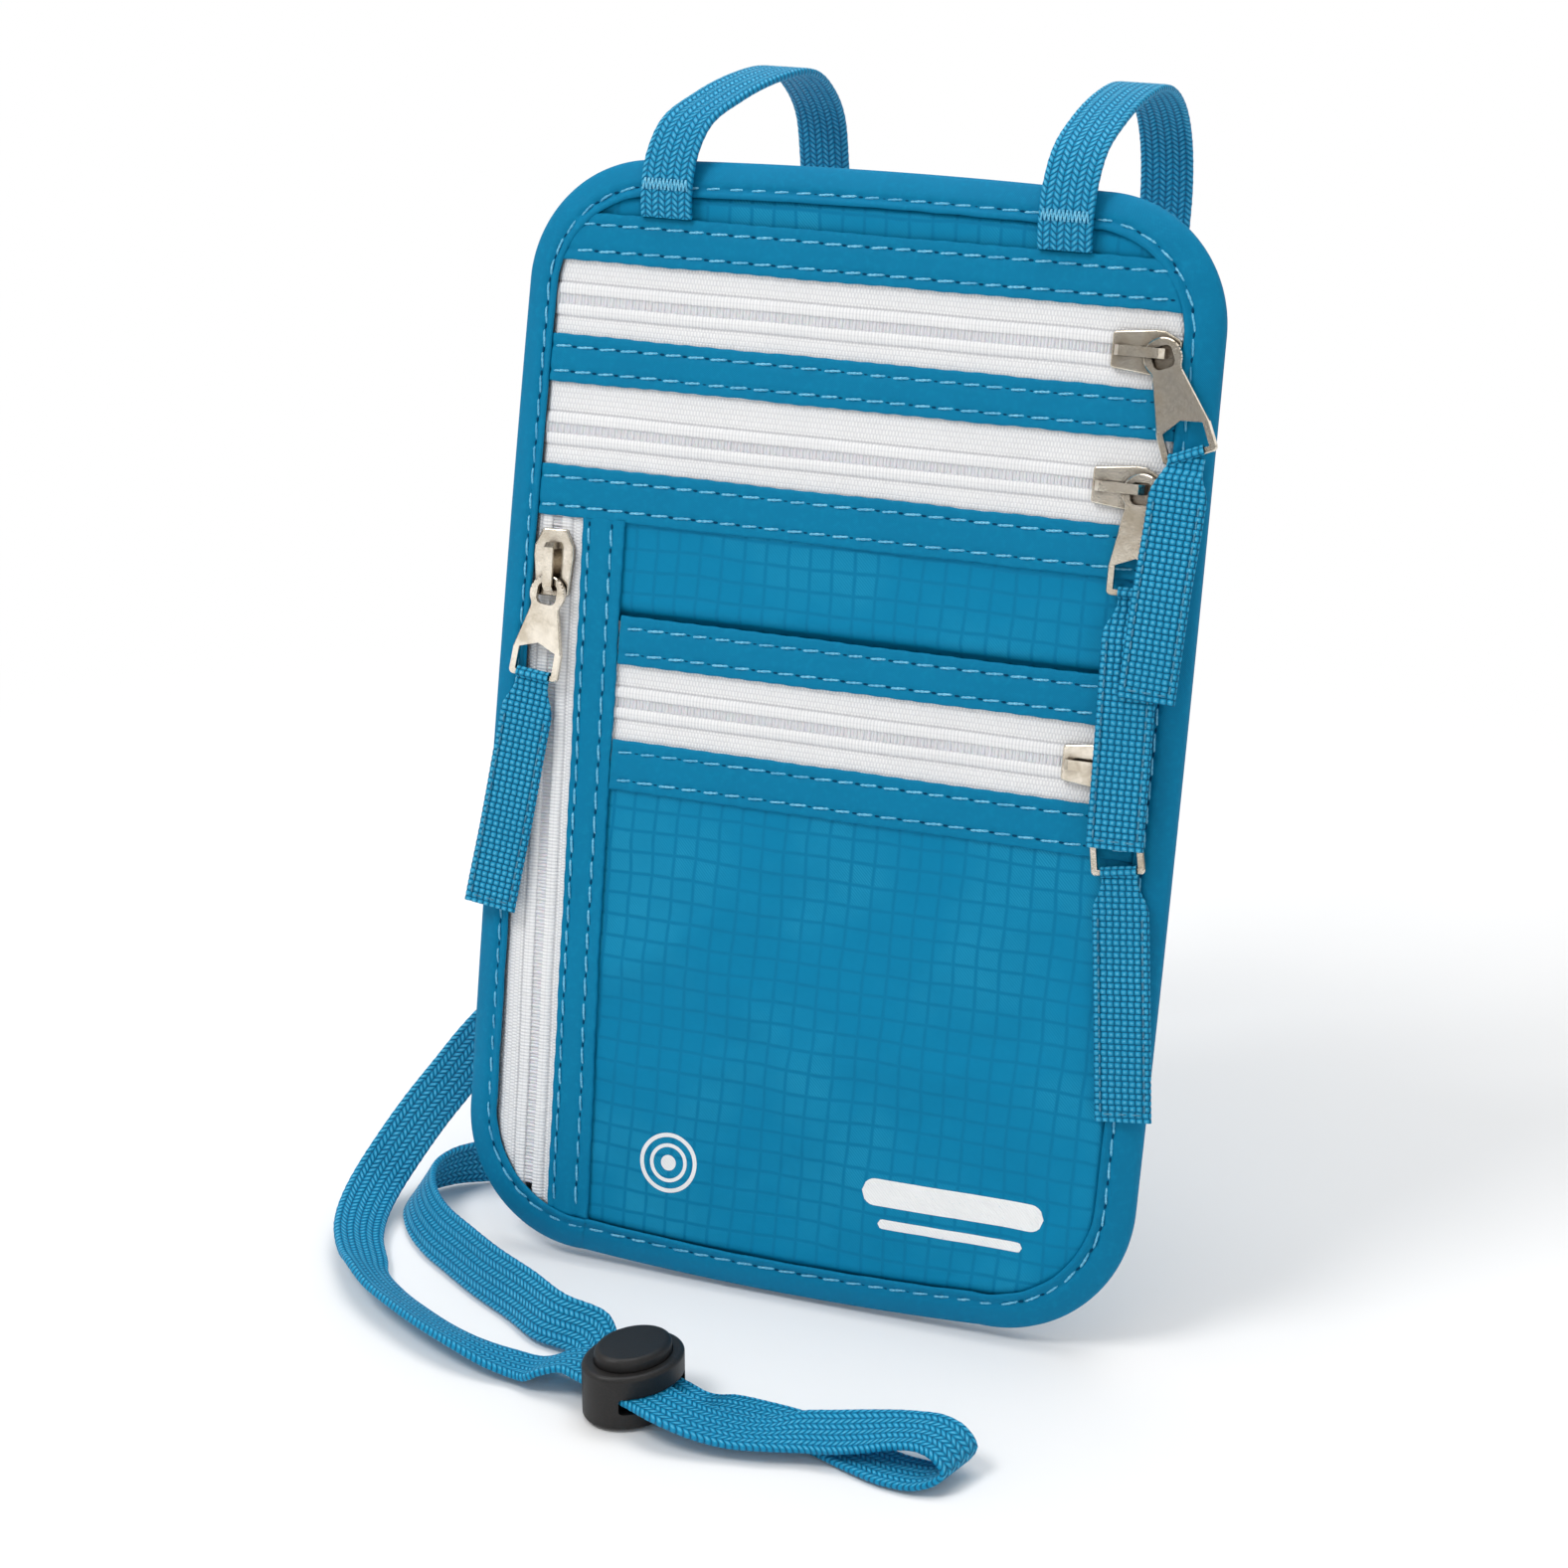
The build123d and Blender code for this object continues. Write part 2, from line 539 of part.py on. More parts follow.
# centre line x, y, z and width direction x, y, z, from the right front end, over the
# top, down behind, round the cord lock and back to the left front end
STRAP_STATIONS = [
    (36.8, 42.97, 191.17, -1, 0, 0), (36.8, 42.81, 193.89, -1, 0, 0),
    (36.8, 43.24, 196.87, -1, 0, 0), (36.9, 44.99, 202.1, -1, 0, 0),
    (37.4, 48.36, 207.45, -1, 0, 0), (38.8, 55.23, 211.94, -1, 0, 0),
    (40.3, 64.15, 214.69, -1, 0, 0), (41.3, 74.94, 214.61, -1, 0, 0),
    (41.5, 85.03, 209.55, -1, 0, 0), (41.2, 91.41, 202.01, -1, 0, 0),
    (40.9, 94.16, 193.1, -1, 0, 0), (40.2, 95.5, 184, -1, 0, 0),
    (38.5, 98.5, 168, -0.99, 0.1, 0.05), (33, 98, 152, -0.95, 0.1, 0.3),
    (22, 91.5, 134, -0.8, 0.05, 0.6), (0, 76, 107, -0.76, -0.05, 0.65),
    (-25, 58, 78, -0.74, -0.08, 0.67), (-50, 40, 51.5, -0.72, -0.1, 0.69),
    (-71.79, 22, 29.13, -0.81, -0.07, 0.59), (-75.69, 18.5, 23.34, -0.81, -0.07, 0.58),
    (-79.5, 13.5, 17.39, -0.82, -0.09, 0.56), (-82.56, 7.5, 11.42, -0.85, -0.12, 0.52),
    (-84.54, 2.5, 6.73, -0.86, -0.13, 0.5), (-84.05, -4.03, 4.6, -0.88, -0.2, 0.43),
    (-81.6, -11.69, 3.5, -0.83, -0.41, 0.38), (-75.67, -21.05, 3, -0.7, -0.58, 0.41),
    (-73.83, -23.72, 3.35, -0.57, -0.64, 0.52), (-66.88, -30.12, 3.26, -0.48, -0.72, 0.5),
    (-59.1, -35.04, 3.18, -0.42, -0.77, 0.48), (-51.88, -38.84, 3.01, -0.38, -0.81, 0.45),
    (-44.4, -41.62, 2.58, -0.28, -0.88, 0.37), (-36.98, -42.99, 1.71, -0.2, -0.96, 0.21),
    (-30.74, -43.42, 1.33, -0.25, -0.96, 0.09), (-28.6, -46.4, 1.94, -0.3, -0.95, 0),
    (-24.4, -46.2, 4.3, -0.38, -0.92, -0.05), (-20.66, -44.25, 5.35, -0.41, -0.91, 0),
    (-17.26, -45.46, 5.33, -0.41, -0.91, 0), (-10.33, -48.58, 5.35, -0.41, -0.91, 0),
    (-3.4, -51.7, 5.35, -0.41, -0.91, 0), (-0.12, -53.18, 5.3, -0.41, -0.91, 0),
    (7.2, -53.2, 3.6, -0.1, -0.99, -0.03), (12.5, -52.3, 2.7, 0.08, -1, -0.02),
    (17.8, -51.2, 2.8, 0.2, -0.98, -0.02), (23, -49.7, 3.6, 0.25, -0.95, -0.2),
    (29, -48.8, 4.3, 0.18, -0.94, -0.27), (35, -47.8, 5.2, 0.02, -0.96, -0.28),
    (41, -46.9, 6.2, -0.15, -0.96, -0.22), (46.5, -47, 6.7, -0.25, -0.95, -0.18),
    (50.2, -48.4, 6, -0.3, -0.94, -0.15), (51.9, -49.3, 4, -0.3, -0.95, -0.1),
    (51, -50.2, 2.8, -0.3, -0.95, -0.04), (47.6, -51.3, 1.29, -0.28, -0.96, 0),
    (42.1, -51.2, 0.77, -0.28, -0.96, 0), (34.8, -49.2, 0.75, -0.28, -0.96, 0),
    (27.4, -46.4, 0.75, -0.25, -0.97, 0), (20, -44.2, 0.85, -0.1, -0.99, 0),
    (13, -43.4, 0.81, 0.05, -1, 0), (7, -45.2, 2.08, -0.15, -0.99, 0),
    (1.94, -48.62, 3.87, -0.41, -0.91, 0), (-1.34, -47.14, 3.85, -0.41, -0.91, 0),
    (-8.27, -44.02, 3.95, -0.41, -0.91, 0), (-15.16, -40.81, 3.9, -0.41, -0.91, 0),
    (-18.34, -39.1, 3.85, -0.41, -0.91, 0), (-20.9, -35.4, 2.6, -0.4, -0.88, -0.25),
    (-23.61, -32.26, 3.32, -0.4, -0.79, -0.47), (-33.13, -29.99, 4.14, -0.37, -0.64, -0.67),
    (-41.4, -24.81, 4.31, -0.32, -0.56, -0.77), (-50.93, -19.43, 4.44, -0.31, -0.51, -0.8),
    (-59.64, -13.49, 4.45, -0.33, -0.5, -0.8), (-67.58, -7.59, 4.4, -0.38, -0.48, -0.79),
    (-73.04, -1.75, 4.4, -0.49, -0.37, -0.79), (-76.75, 4.73, 4.51, -0.57, -0.15, -0.81),
    (-77.58, 10.38, 4.74, -0.48, 0.12, -0.87), (-74.99, 15.79, 4.99, -0.24, 0.24, -0.94),
    (-69.06, 20.75, 5.1, -0.09, 0.15, -0.98), (-59.82, 27.2, 5.09, -0.04, 0.06, -1),
    (-49.9, 35.86, 5.08, -0.02, 0.03, -1), (-40.86, 48.9, 5.15, -0.03, 0.02, -1),
    (-34.17, 64.87, 5.17, -0.07, 0.03, -1), (-30.5, 80, 6.2, -0.55, 0.2, -0.81),
    (-28.8, 90.5, 13.5, -0.86, 0.25, -0.45), (-28, 96.5, 28, -0.98, 0.1, -0.15),
    (-27.6, 99, 60, -1, 0, 0), (-27.5, 99.5, 105, -1, 0, 0),
    (-27.4, 98.5, 150, -1, 0, 0), (-27.3, 95.5, 184, -1, 0, 0),
    (-27.2, 94.16, 193.1, -1, 0, 0), (-27, 91.41, 202.01, -1, 0, 0),
    (-26.7, 84.74, 208.39, -1, 0, 0), (-27, 74.63, 213.35, -1, 0, 0),
    (-29.6, 63.86, 213.53, -1, 0, 0), (-33.2, 55.07, 211.26, -1, 0, 0),
    (-36.8, 48.36, 207.45, -1, 0, 0), (-38.2, 44.99, 202.1, -1, 0, 0),
    (-38.5, 43.24, 196.87, -1, 0, 0), (-38.5, 42.81, 193.89, -1, 0, 0),
    (-38.5, 42.97, 191.17, -1, 0, 0),
]


def station_slopes(stations, spans):
    """Slope of every column at each station, weighted from the spans beside it."""
    chords = [
        [(b - a) / span for a, b in zip(first, second)]
        for first, second, span in zip(stations, stations[1:], spans)
    ]
    inner = [
        [(a * after + b * before) / (before + after) for a, b in zip(first, second)]
        for first, second, before, after in zip(chords, chords[1:], spans, spans[1:])
    ]
    return [chords[0], *inner, chords[-1]]


def strap_samples(stations):
    """Stations of a smooth cubic through the given ones, more closely spaced."""
    points = [Vector(*station[:3]) for station in stations]
    spans = [(b - a).length for a, b in zip(points, points[1:])]
    slopes = station_slopes(stations, spans)
    samples = []
    for i, span in enumerate(spans):
        in_fold = min(points[i].X, points[i + 1].X) > FOLD_X
        count = FOLD_SAMPLES if in_fold else max(1, round(span / SAMPLE_STEP))
        for k in range(count):
            t = k / count
            start, end = 2 * t**3 - 3 * t**2 + 1, -2 * t**3 + 3 * t**2
            leave, arrive = (t**3 - 2 * t**2 + t) * span, (t**3 - t**2) * span
            samples.append([
                start * a + leave * slope_a + end * b + arrive * slope_b
                for a, slope_a, b, slope_b
                in zip(stations[i], slopes[i], stations[i + 1], slopes[i + 1])
            ])
    samples.append(stations[-1])
    return samples


def strap_sections():
    """Planes square to the strap, x across its width."""
    samples = strap_samples(STRAP_STATIONS)
    points = [Vector(*sample[:3]) for sample in samples]
    last = len(points) - 1
    sections = []
    for i, sample in enumerate(samples):
        along = points[min(i + 1, last)] - points[max(i - 1, 0)]
        across = Vector(*sample[3:]).normalized()
        along = along - across * along.dot(across)
        sections.append(Plane(origin=points[i], x_dir=across, z_dir=along.normalized()))
    return sections


def neck_strap():
    sections = strap_sections()
    with BuildPart() as piece:
        for first in range(0, len(sections) - 1, CHUNK):
            for section in sections[first:first + CHUNK + 1]:
                with BuildSketch(section):
                    Rectangle(STRAP_W, STRAP_T)
            loft(ruled=True)
    return piece.part


def strap_bartacks():
    """A raised bar across the strap near each of its front ends."""
    with BuildPart() as piece:
        for u in (STRAP_STATIONS[0][0], STRAP_STATIONS[-1][0]):
            with BuildSketch(on_face(u, TACK_V).offset(TACK_W0)):
                Rectangle(TACK_L, TACK_H)
            extrude(amount=TACK_T)
    return piece.part


save(neck_strap(), "neck_strap")
save(strap_bartacks(), "strap_bartacks")


# ---------------------------------------------------------------- cord lock
LOCK_X, LOCK_Y = -9.3, -46.3
LOCK_DIR = (0.91176, -0.41069, 0)      # direction of the strap through the lock
LOCK_H = 10.3
# ellipse radii, along and across the strap
LOCK_RADII, CAVITY_RADII, MOUTH_RADII = (7.75, 10.0), (6.5, 8.9), (6.0, 7.75)
BASE_RADII, BUTTON_RADII = (6.35, 8.75), (5.85, 7.6)
CAVITY_Z0, CAVITY_H = 0.6, 7.8
MOUTH_Z0 = 8.3
BASE_Z0 = 2.5           # underside of the button's wide base
BUTTON_Z0, BUTTON_TOP = 8.2, 12.6
SLOT_W, SLOT_Z0, SLOT_Z1 = 15.8, 3.15, 6.2
BUTTON_SLOT_H = 4.4
SPRING_R, SPRING_WIRE_R = 4.0, 0.2
SPRING_Z0, SPRING_H, SPRING_PITCH = 0.86, 1.36, 0.62

LOCK = Plane(origin=(LOCK_X, LOCK_Y, 0), x_dir=LOCK_DIR, z_dir=(0, 0, 1))
UP = Axis((LOCK_X, LOCK_Y, 0), (0, 0, 1))
# square to the strap, outside the lock; the slots are cut from here
THROUGH = Plane(origin=LOCK.from_local_coords((-15, 0, 0)), x_dir=LOCK.y_dir, z_dir=LOCK.x_dir)
THROUGH_L = 30


def cord_lock_body():
    with BuildPart() as piece:
        with BuildSketch(LOCK):
            Ellipse(*LOCK_RADII)
        extrude(amount=LOCK_H)
        fillet(faces().sort_by(UP)[-1].edges(), radius=0.9)
        fillet(faces().sort_by(UP)[0].edges(), radius=0.8)
        with BuildSketch(LOCK.offset(CAVITY_Z0)):
            Ellipse(*CAVITY_RADII)
        extrude(amount=CAVITY_H, mode=Mode.SUBTRACT)
        with BuildSketch(LOCK.offset(MOUTH_Z0)):
            Ellipse(*MOUTH_RADII)
        extrude(amount=4, mode=Mode.SUBTRACT)
        with BuildSketch(THROUGH):
            with Locations((0, (SLOT_Z0 + SLOT_Z1) / 2)):
                RectangleRounded(SLOT_W, SLOT_Z1 - SLOT_Z0, 0.6)
        extrude(amount=THROUGH_L, mode=Mode.SUBTRACT)
    return piece.part


def cord_lock_button():
    with BuildPart() as piece:
        with BuildSketch(LOCK.offset(BASE_Z0)):
            Ellipse(*BASE_RADII)
        extrude(amount=MOUTH_Z0 - BASE_Z0)
        with BuildSketch(LOCK.offset(BUTTON_Z0)):
            Ellipse(*BUTTON_RADII)
        extrude(amount=BUTTON_TOP - BUTTON_Z0)
        fillet(faces().sort_by(UP)[-1].edges(), radius=1.1)
        with BuildSketch(THROUGH):
            with Locations((0, SLOT_Z0 + BUTTON_SLOT_H / 2)):
                Rectangle(SLOT_W, BUTTON_SLOT_H)
        extrude(amount=THROUGH_L, mode=Mode.SUBTRACT)
    return piece.part


def cord_lock_spring():
    with BuildPart() as piece:
        with BuildLine():
            coil = Helix(
                pitch=SPRING_PITCH, height=SPRING_H, radius=SPRING_R,
                center=(LOCK_X, LOCK_Y, SPRING_Z0),
            )
        with BuildSketch(Plane(origin=coil @ 0, z_dir=coil % 0)):
            Circle(SPRING_WIRE_R)
        sweep(path=coil, is_frenet=True)
    return piece.part


save(cord_lock_body(), "cord_lock_body")
save(cord_lock_button(), "cord_lock_button")
save(cord_lock_spring(), "cord_lock_spring")
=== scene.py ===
"""A flat fabric pouch with four zips, on a braided neck strap with a cord lock.

The pouch stands on its bottom edge near the origin and leans back: its front looks
towards -Y, its top edge leans towards +Y and its left side is at -X. The strap leaves
the top edge, goes round behind and lies in loops on the floor by the bottom left corner.

Lengths are mm until a mesh is made. Most shapes are drawn in the pouch plane: x runs
across it, y up its slope from the bottom edge, and z out of its front.
"""
import math

import bpy
import numpy as np
from mathutils import Matrix, Vector


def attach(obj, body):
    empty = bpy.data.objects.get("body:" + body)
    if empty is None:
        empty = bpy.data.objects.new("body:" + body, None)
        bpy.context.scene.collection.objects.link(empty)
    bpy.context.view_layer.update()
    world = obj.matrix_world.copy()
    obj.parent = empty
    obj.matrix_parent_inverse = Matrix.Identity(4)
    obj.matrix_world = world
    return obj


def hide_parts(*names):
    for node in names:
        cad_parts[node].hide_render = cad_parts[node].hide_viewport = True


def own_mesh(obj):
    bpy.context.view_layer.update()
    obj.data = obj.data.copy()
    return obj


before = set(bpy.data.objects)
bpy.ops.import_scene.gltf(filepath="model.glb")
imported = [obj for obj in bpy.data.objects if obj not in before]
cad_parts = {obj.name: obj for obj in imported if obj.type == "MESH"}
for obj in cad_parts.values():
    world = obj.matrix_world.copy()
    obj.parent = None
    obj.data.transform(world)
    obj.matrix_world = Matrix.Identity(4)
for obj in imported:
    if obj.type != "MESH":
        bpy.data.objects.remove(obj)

for name in ("Cube", "Light", "Camera"):
    if name in bpy.data.objects:
        bpy.data.objects.remove(bpy.data.objects[name], do_unlink=True)
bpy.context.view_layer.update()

# ------------------------------------------------------------------ dimensions, mm
LEAN = math.radians(13.82)
SIN_LEAN, COS_LEAN = math.sin(LEAN), math.cos(LEAN)
LIFT = 0.3                    # bottom edge above the floor
POUCH_W, POUCH_H = 133.0, 206.9
TOP_RADIUS, BOTTOM_RADIUS = 24.0, 27.0
BOW = 1.2                     # how far the straight edges bow out
BINDING_W = 6.6
BINDING_SEAM = 5.0            # inset of the binding's stitch line
BINDING_SEAM_Z = 3.26
SHEET_INSET = 5.5             # sewn-in sheets end here, under the binding
SHEET_X = 60.8                # half width of the widest sheets
CLOTH_Z, BAND_Z = 2.8, 3.5    # outer faces of the front cloth and of the seam bands
BAND_STITCH_Z = 3.36

# band: (low edge, high edge); the last two start at the side band
BANDS = {1: (186.5, 195.5), 2: (164.2, 173.0), 3: (139.5, 149.0), 4: (113.5, 122.5), 5: (90.0, 99.5)}
BAND_LEFT = {4: -41.3, 5: -41.0}
SIDE_BAND_HALF = 4.2          # nominal half width of the side band

OVERLAY_LEFT = -45.6          # left edge of the lower cloth, beside the side zip
# zip: (centre, low edge of tape, high edge of tape, left end or None for the binding)
ZIPS = {
    1: (179.3, 168.7, 190.9, None),
    2: (155.6, 144.3, 168.5, None),
    3: (106.3, 94.8, 121.4, OVERLAY_LEFT),
}
SIDE_ZIP_X, SIDE_ZIP_TOP = -55.5, 142.0
SIDE_PULL_Y = 127.7           # the side zip's x is given at this height
SIDE_ZIP_TILT = math.radians(2.05)
COIL_PITCH, COIL_Z = 0.64, 2.10

STITCH_PITCH, STITCH_LENGTH, STITCH_RADIUS, STITCH_LIFT = 4.3, 3.15, 0.21, 0.13

PULL_LENGTH = 18.2            # pivot to the bottom bar
PULL_BAR_Z = 4.4 + 0.5
# weave of the pull ribbons: cell across and along, and sideways shift of every other row
WEAVE_X, WEAVE_Y, WEAVE_SHIFT = 1.26, 1.10, 0.12
# zip: body, node, pivot (x, y), tilt of pull and turn of ribbon in degrees,
# sideways shift at the bar, and the ribbon's (distance along, height) stations
RIBBONS = {
    1: ("ribbon_1", "zip_ribbon_1", (56.3, ZIPS[1][0]), 22.0, -2.7, -0.6,
        [(2.2, 5.2), (2.7, 6.05), (3.6, 6.9), (4.6, 7.2), (13, 7.2), (23, 8.3), (43.0, 8.3)]),
    2: ("ribbon_2", "zip_ribbon_2", (55.2, ZIPS[2][0]), 1.0, 1.6, 0.6,
        [(2.2, 5.0), (3.2, 5.4), (7.5, 7.15), (45.0, 7.15)]),
    3: ("ribbon_3", "zip_ribbon_3", (54.7, ZIPS[3][0]), 10.0, 6.5, 0.2,
        [(2.2, 4.9), (8.0, 4.4), (45.0, 4.2)]),
    4: ("side_ribbon", "side_zip_ribbon", (SIDE_ZIP_X, SIDE_PULL_Y), -6.0, -6.5, 0.0,
        [(2.2, 4.9), (8.0, 5.0), (45.0, 5.3)]),
}

STRAP_W, STRAP_T = 10.0, 1.3
# world centre (x, y, z) and across direction (x, y, z) of the strap, from end to end
STRAP_STATIONS = [
    (36.8, 42.97, 191.17, -1, 0, 0), (36.8, 42.81, 193.89, -1, 0, 0),
    (36.8, 43.24, 196.87, -1, 0, 0), (36.9, 44.99, 202.1, -1, 0, 0),
    (37.4, 48.36, 207.45, -1, 0, 0), (38.8, 55.23, 211.94, -1, 0, 0),
    (40.3, 64.15, 214.69, -1, 0, 0), (41.3, 74.94, 214.61, -1, 0, 0),
    (41.5, 85.03, 209.55, -1, 0, 0), (41.2, 91.41, 202.01, -1, 0, 0),
    (40.9, 94.16, 193.1, -1, 0, 0), (40.2, 95.5, 184, -1, 0, 0),
    (38.5, 98.5, 168, -0.99, 0.1, 0.05), (33, 98, 152, -0.95, 0.1, 0.3),
    (22, 91.5, 134, -0.8, 0.05, 0.6), (0, 76, 107, -0.76, -0.05, 0.65),
    (-25, 58, 78, -0.74, -0.08, 0.67), (-50, 40, 51.5, -0.72, -0.1, 0.69),
    (-71.79, 22, 29.13, -0.81, -0.07, 0.59), (-75.69, 18.5, 23.34, -0.81, -0.07, 0.58),
    (-79.5, 13.5, 17.39, -0.82, -0.09, 0.56), (-82.56, 7.5, 11.42, -0.85, -0.12, 0.52),
    (-84.54, 2.5, 6.73, -0.86, -0.13, 0.5), (-84.05, -4.03, 4.6, -0.88, -0.2, 0.43),
    (-81.6, -11.69, 3.5, -0.83, -0.41, 0.38), (-75.67, -21.05, 3, -0.7, -0.58, 0.41),
    (-73.83, -23.72, 3.35, -0.57, -0.64, 0.52), (-66.88, -30.12, 3.26, -0.48, -0.72, 0.5),
    (-59.1, -35.04, 3.18, -0.42, -0.77, 0.48), (-51.88, -38.84, 3.01, -0.38, -0.81, 0.45),
    (-44.4, -41.62, 2.58, -0.28, -0.88, 0.37), (-36.98, -42.99, 1.71, -0.2, -0.96, 0.21),
    (-30.74, -43.42, 1.33, -0.25, -0.96, 0.09), (-28.9, -44.0, 1.94, -0.3, -0.95, 0),
    (-24.8, -44.5, 4.3, -0.38, -0.92, -0.05), (-20.66, -44.25, 5.35, -0.41, -0.91, 0),
    (-17.26, -45.46, 5.33, -0.41, -0.91, 0), (-10.33, -48.58, 5.35, -0.41, -0.91, 0),
    (-3.4, -51.7, 5.35, -0.41, -0.91, 0), (-0.12, -53.18, 5.3, -0.41, -0.91, 0),
    (7.2, -53.2, 3.6, -0.1, -0.99, -0.03), (12.5, -52.3, 2.7, 0.08, -1, -0.02),
    (17.8, -51.2, 2.8, 0.2, -0.98, -0.02), (23, -49.7, 3.6, 0.25, -0.95, -0.2),
    (29, -48.8, 4.3, 0.18, -0.94, -0.27), (35, -47.8, 5.2, 0.02, -0.96, -0.28),
    (41, -46.9, 6.2, -0.15, -0.96, -0.22), (46.5, -47, 6.7, -0.25, -0.95, -0.18),
    (50.2, -48.4, 6, -0.3, -0.94, -0.15), (51.9, -49.3, 4, -0.3, -0.95, -0.1),
    (51, -50.2, 2.8, -0.3, -0.95, -0.04), (47.6, -51.3, 1.29, -0.28, -0.96, 0),
    (42.1, -51.2, 0.77, -0.28, -0.96, 0), (34.8, -49.2, 0.75, -0.28, -0.96, 0),
    (27.4, -46.4, 0.75, -0.25, -0.97, 0), (20, -44.2, 0.85, -0.1, -0.99, 0),
    (13, -43.4, 0.81, 0.05, -1, 0), (7, -45.2, 2.08, -0.15, -0.99, 0),
    (1.94, -48.62, 3.87, -0.41, -0.91, 0), (-1.34, -47.14, 3.85, -0.41, -0.91, 0),
    (-8.27, -44.02, 3.95, -0.41, -0.91, 0), (-15.16, -40.81, 3.9, -0.41, -0.91, 0),
    (-18.34, -39.1, 3.85, -0.41, -0.91, 0), (-20.9, -35.4, 2.6, -0.4, -0.88, -0.25),
    (-23.61, -32.26, 3.32, -0.4, -0.79, -0.47), (-33.13, -29.99, 4.14, -0.37, -0.64, -0.67),
    (-41.4, -24.81, 4.31, -0.32, -0.56, -0.77), (-50.93, -19.43, 4.44, -0.31, -0.51, -0.8),
    (-59.64, -13.49, 4.45, -0.33, -0.5, -0.8), (-67.58, -7.59, 4.4, -0.38, -0.48, -0.79),
    (-73.04, -1.75, 4.4, -0.49, -0.37, -0.79), (-76.75, 4.73, 4.51, -0.57, -0.15, -0.81),
    (-77.58, 10.38, 4.74, -0.48, 0.12, -0.87), (-74.99, 15.79, 4.99, -0.24, 0.24, -0.94),
    (-69.06, 20.75, 5.1, -0.09, 0.15, -0.98), (-59.82, 27.2, 5.09, -0.04, 0.06, -1),
    (-49.9, 35.86, 5.08, -0.02, 0.03, -1), (-40.86, 48.9, 5.15, -0.03, 0.02, -1),
    (-34.17, 64.87, 5.17, -0.07, 0.03, -1), (-30.5, 80, 6.2, -0.55, 0.2, -0.81),
    (-28.8, 90.5, 13.5, -0.86, 0.25, -0.45), (-28, 96.5, 28, -0.98, 0.1, -0.15),
    (-27.6, 99, 60, -1, 0, 0), (-27.5, 99.5, 105, -1, 0, 0),
    (-27.4, 98.5, 150, -1, 0, 0), (-27.3, 95.5, 184, -1, 0, 0),
    (-27.2, 94.16, 193.1, -1, 0, 0), (-27, 91.41, 202.01, -1, 0, 0),
    (-26.7, 84.74, 208.39, -1, 0, 0), (-27, 74.63, 213.35, -1, 0, 0),
    (-29.6, 63.86, 213.53, -1, 0, 0), (-33.2, 55.07, 211.26, -1, 0, 0),
    (-36.8, 48.36, 207.45, -1, 0, 0), (-38.2, 44.99, 202.1, -1, 0, 0),
    (-38.5, 43.24, 196.87, -1, 0, 0), (-38.5, 42.81, 193.89, -1, 0, 0),
    (-38.5, 42.97, 191.17, -1, 0, 0),
]


# ------------------------------------------------------------------ plain maths
def on_pouch(x, y, z):
    """World points, mm, of points given in the pouch plane."""
    x, y, z = np.broadcast_arrays(np.asarray(x, float), y, z)
    return np.stack([x, y * SIN_LEAN - z * COS_LEAN, LIFT + y * COS_LEAN + z * SIN_LEAN], -1)


OUT = on_pouch(0, 0, 1) - on_pouch(0, 0, 0)


def smooth(x, low, high):
    """Smooth step from 0 at low to 1 at high."""
    t = np.clip((x - low) / (high - low), 0, 1)
    return t * t * (3 - 2 * t)


def pair(first, second):
    return np.stack(np.broadcast_arrays(first, second), -1)


def running_length(points):
    return np.r_[0, np.cumsum(np.linalg.norm(np.diff(points, axis=0), axis=1))]


def lerp_cell(grid, i, j, i_next, j_next, x, y):
    low = grid[i, j] * (1 - x) + grid[i_next, j] * x
    high = grid[i, j_next] * (1 - x) + grid[i_next, j_next] * x
    return low * (1 - y) + high * y


def value_noise(x, y, cell, seed):
    """Smooth seeded noise in -1..1, from a 64 x 64 table that repeats."""
    table = np.random.default_rng(seed).uniform(-1, 1, (64, 64))
    x, y = np.asarray(x, float) / cell + 1000.3, np.asarray(y, float) / cell + 1000.7
    i, j = np.floor(x).astype(int), np.floor(y).astype(int)
    x, y = x - i, y - j
    x, y = x * x * (3 - 2 * x), y * y * (3 - 2 * y)
    return lerp_cell(table, i % 64, j % 64, (i + 1) % 64, (j + 1) % 64, x, y)


def wobble(distance, cell, seed, lane=0):
    """Noise along a line; different lanes of one seed differ."""
    return value_noise(distance, lane, cell, seed)


def sample(field, x, y):
    """Bilinear value of a field (xs, ys, grid) at points."""
    xs, ys, grid = field
    x, y = np.broadcast_arrays(np.asarray(x, float), np.asarray(y, float))
    x = np.clip((x - xs[0]) / (xs[1] - xs[0]), 0, len(xs) - 1.001)
    y = np.clip((y - ys[0]) / (ys[1] - ys[0]), 0, len(ys) - 1.001)
    i, j = x.astype(int), y.astype(int)
    return lerp_cell(grid, i, j, i + 1, j + 1, x - i, y - j)


# ------------------------------------------------------------------ outline of the pouch
# points on each arc: bottom, corner, right, corner, top, corner, left, corner
RING_COUNTS = (150, 72, 270, 64, 150, 64, 270, 72)


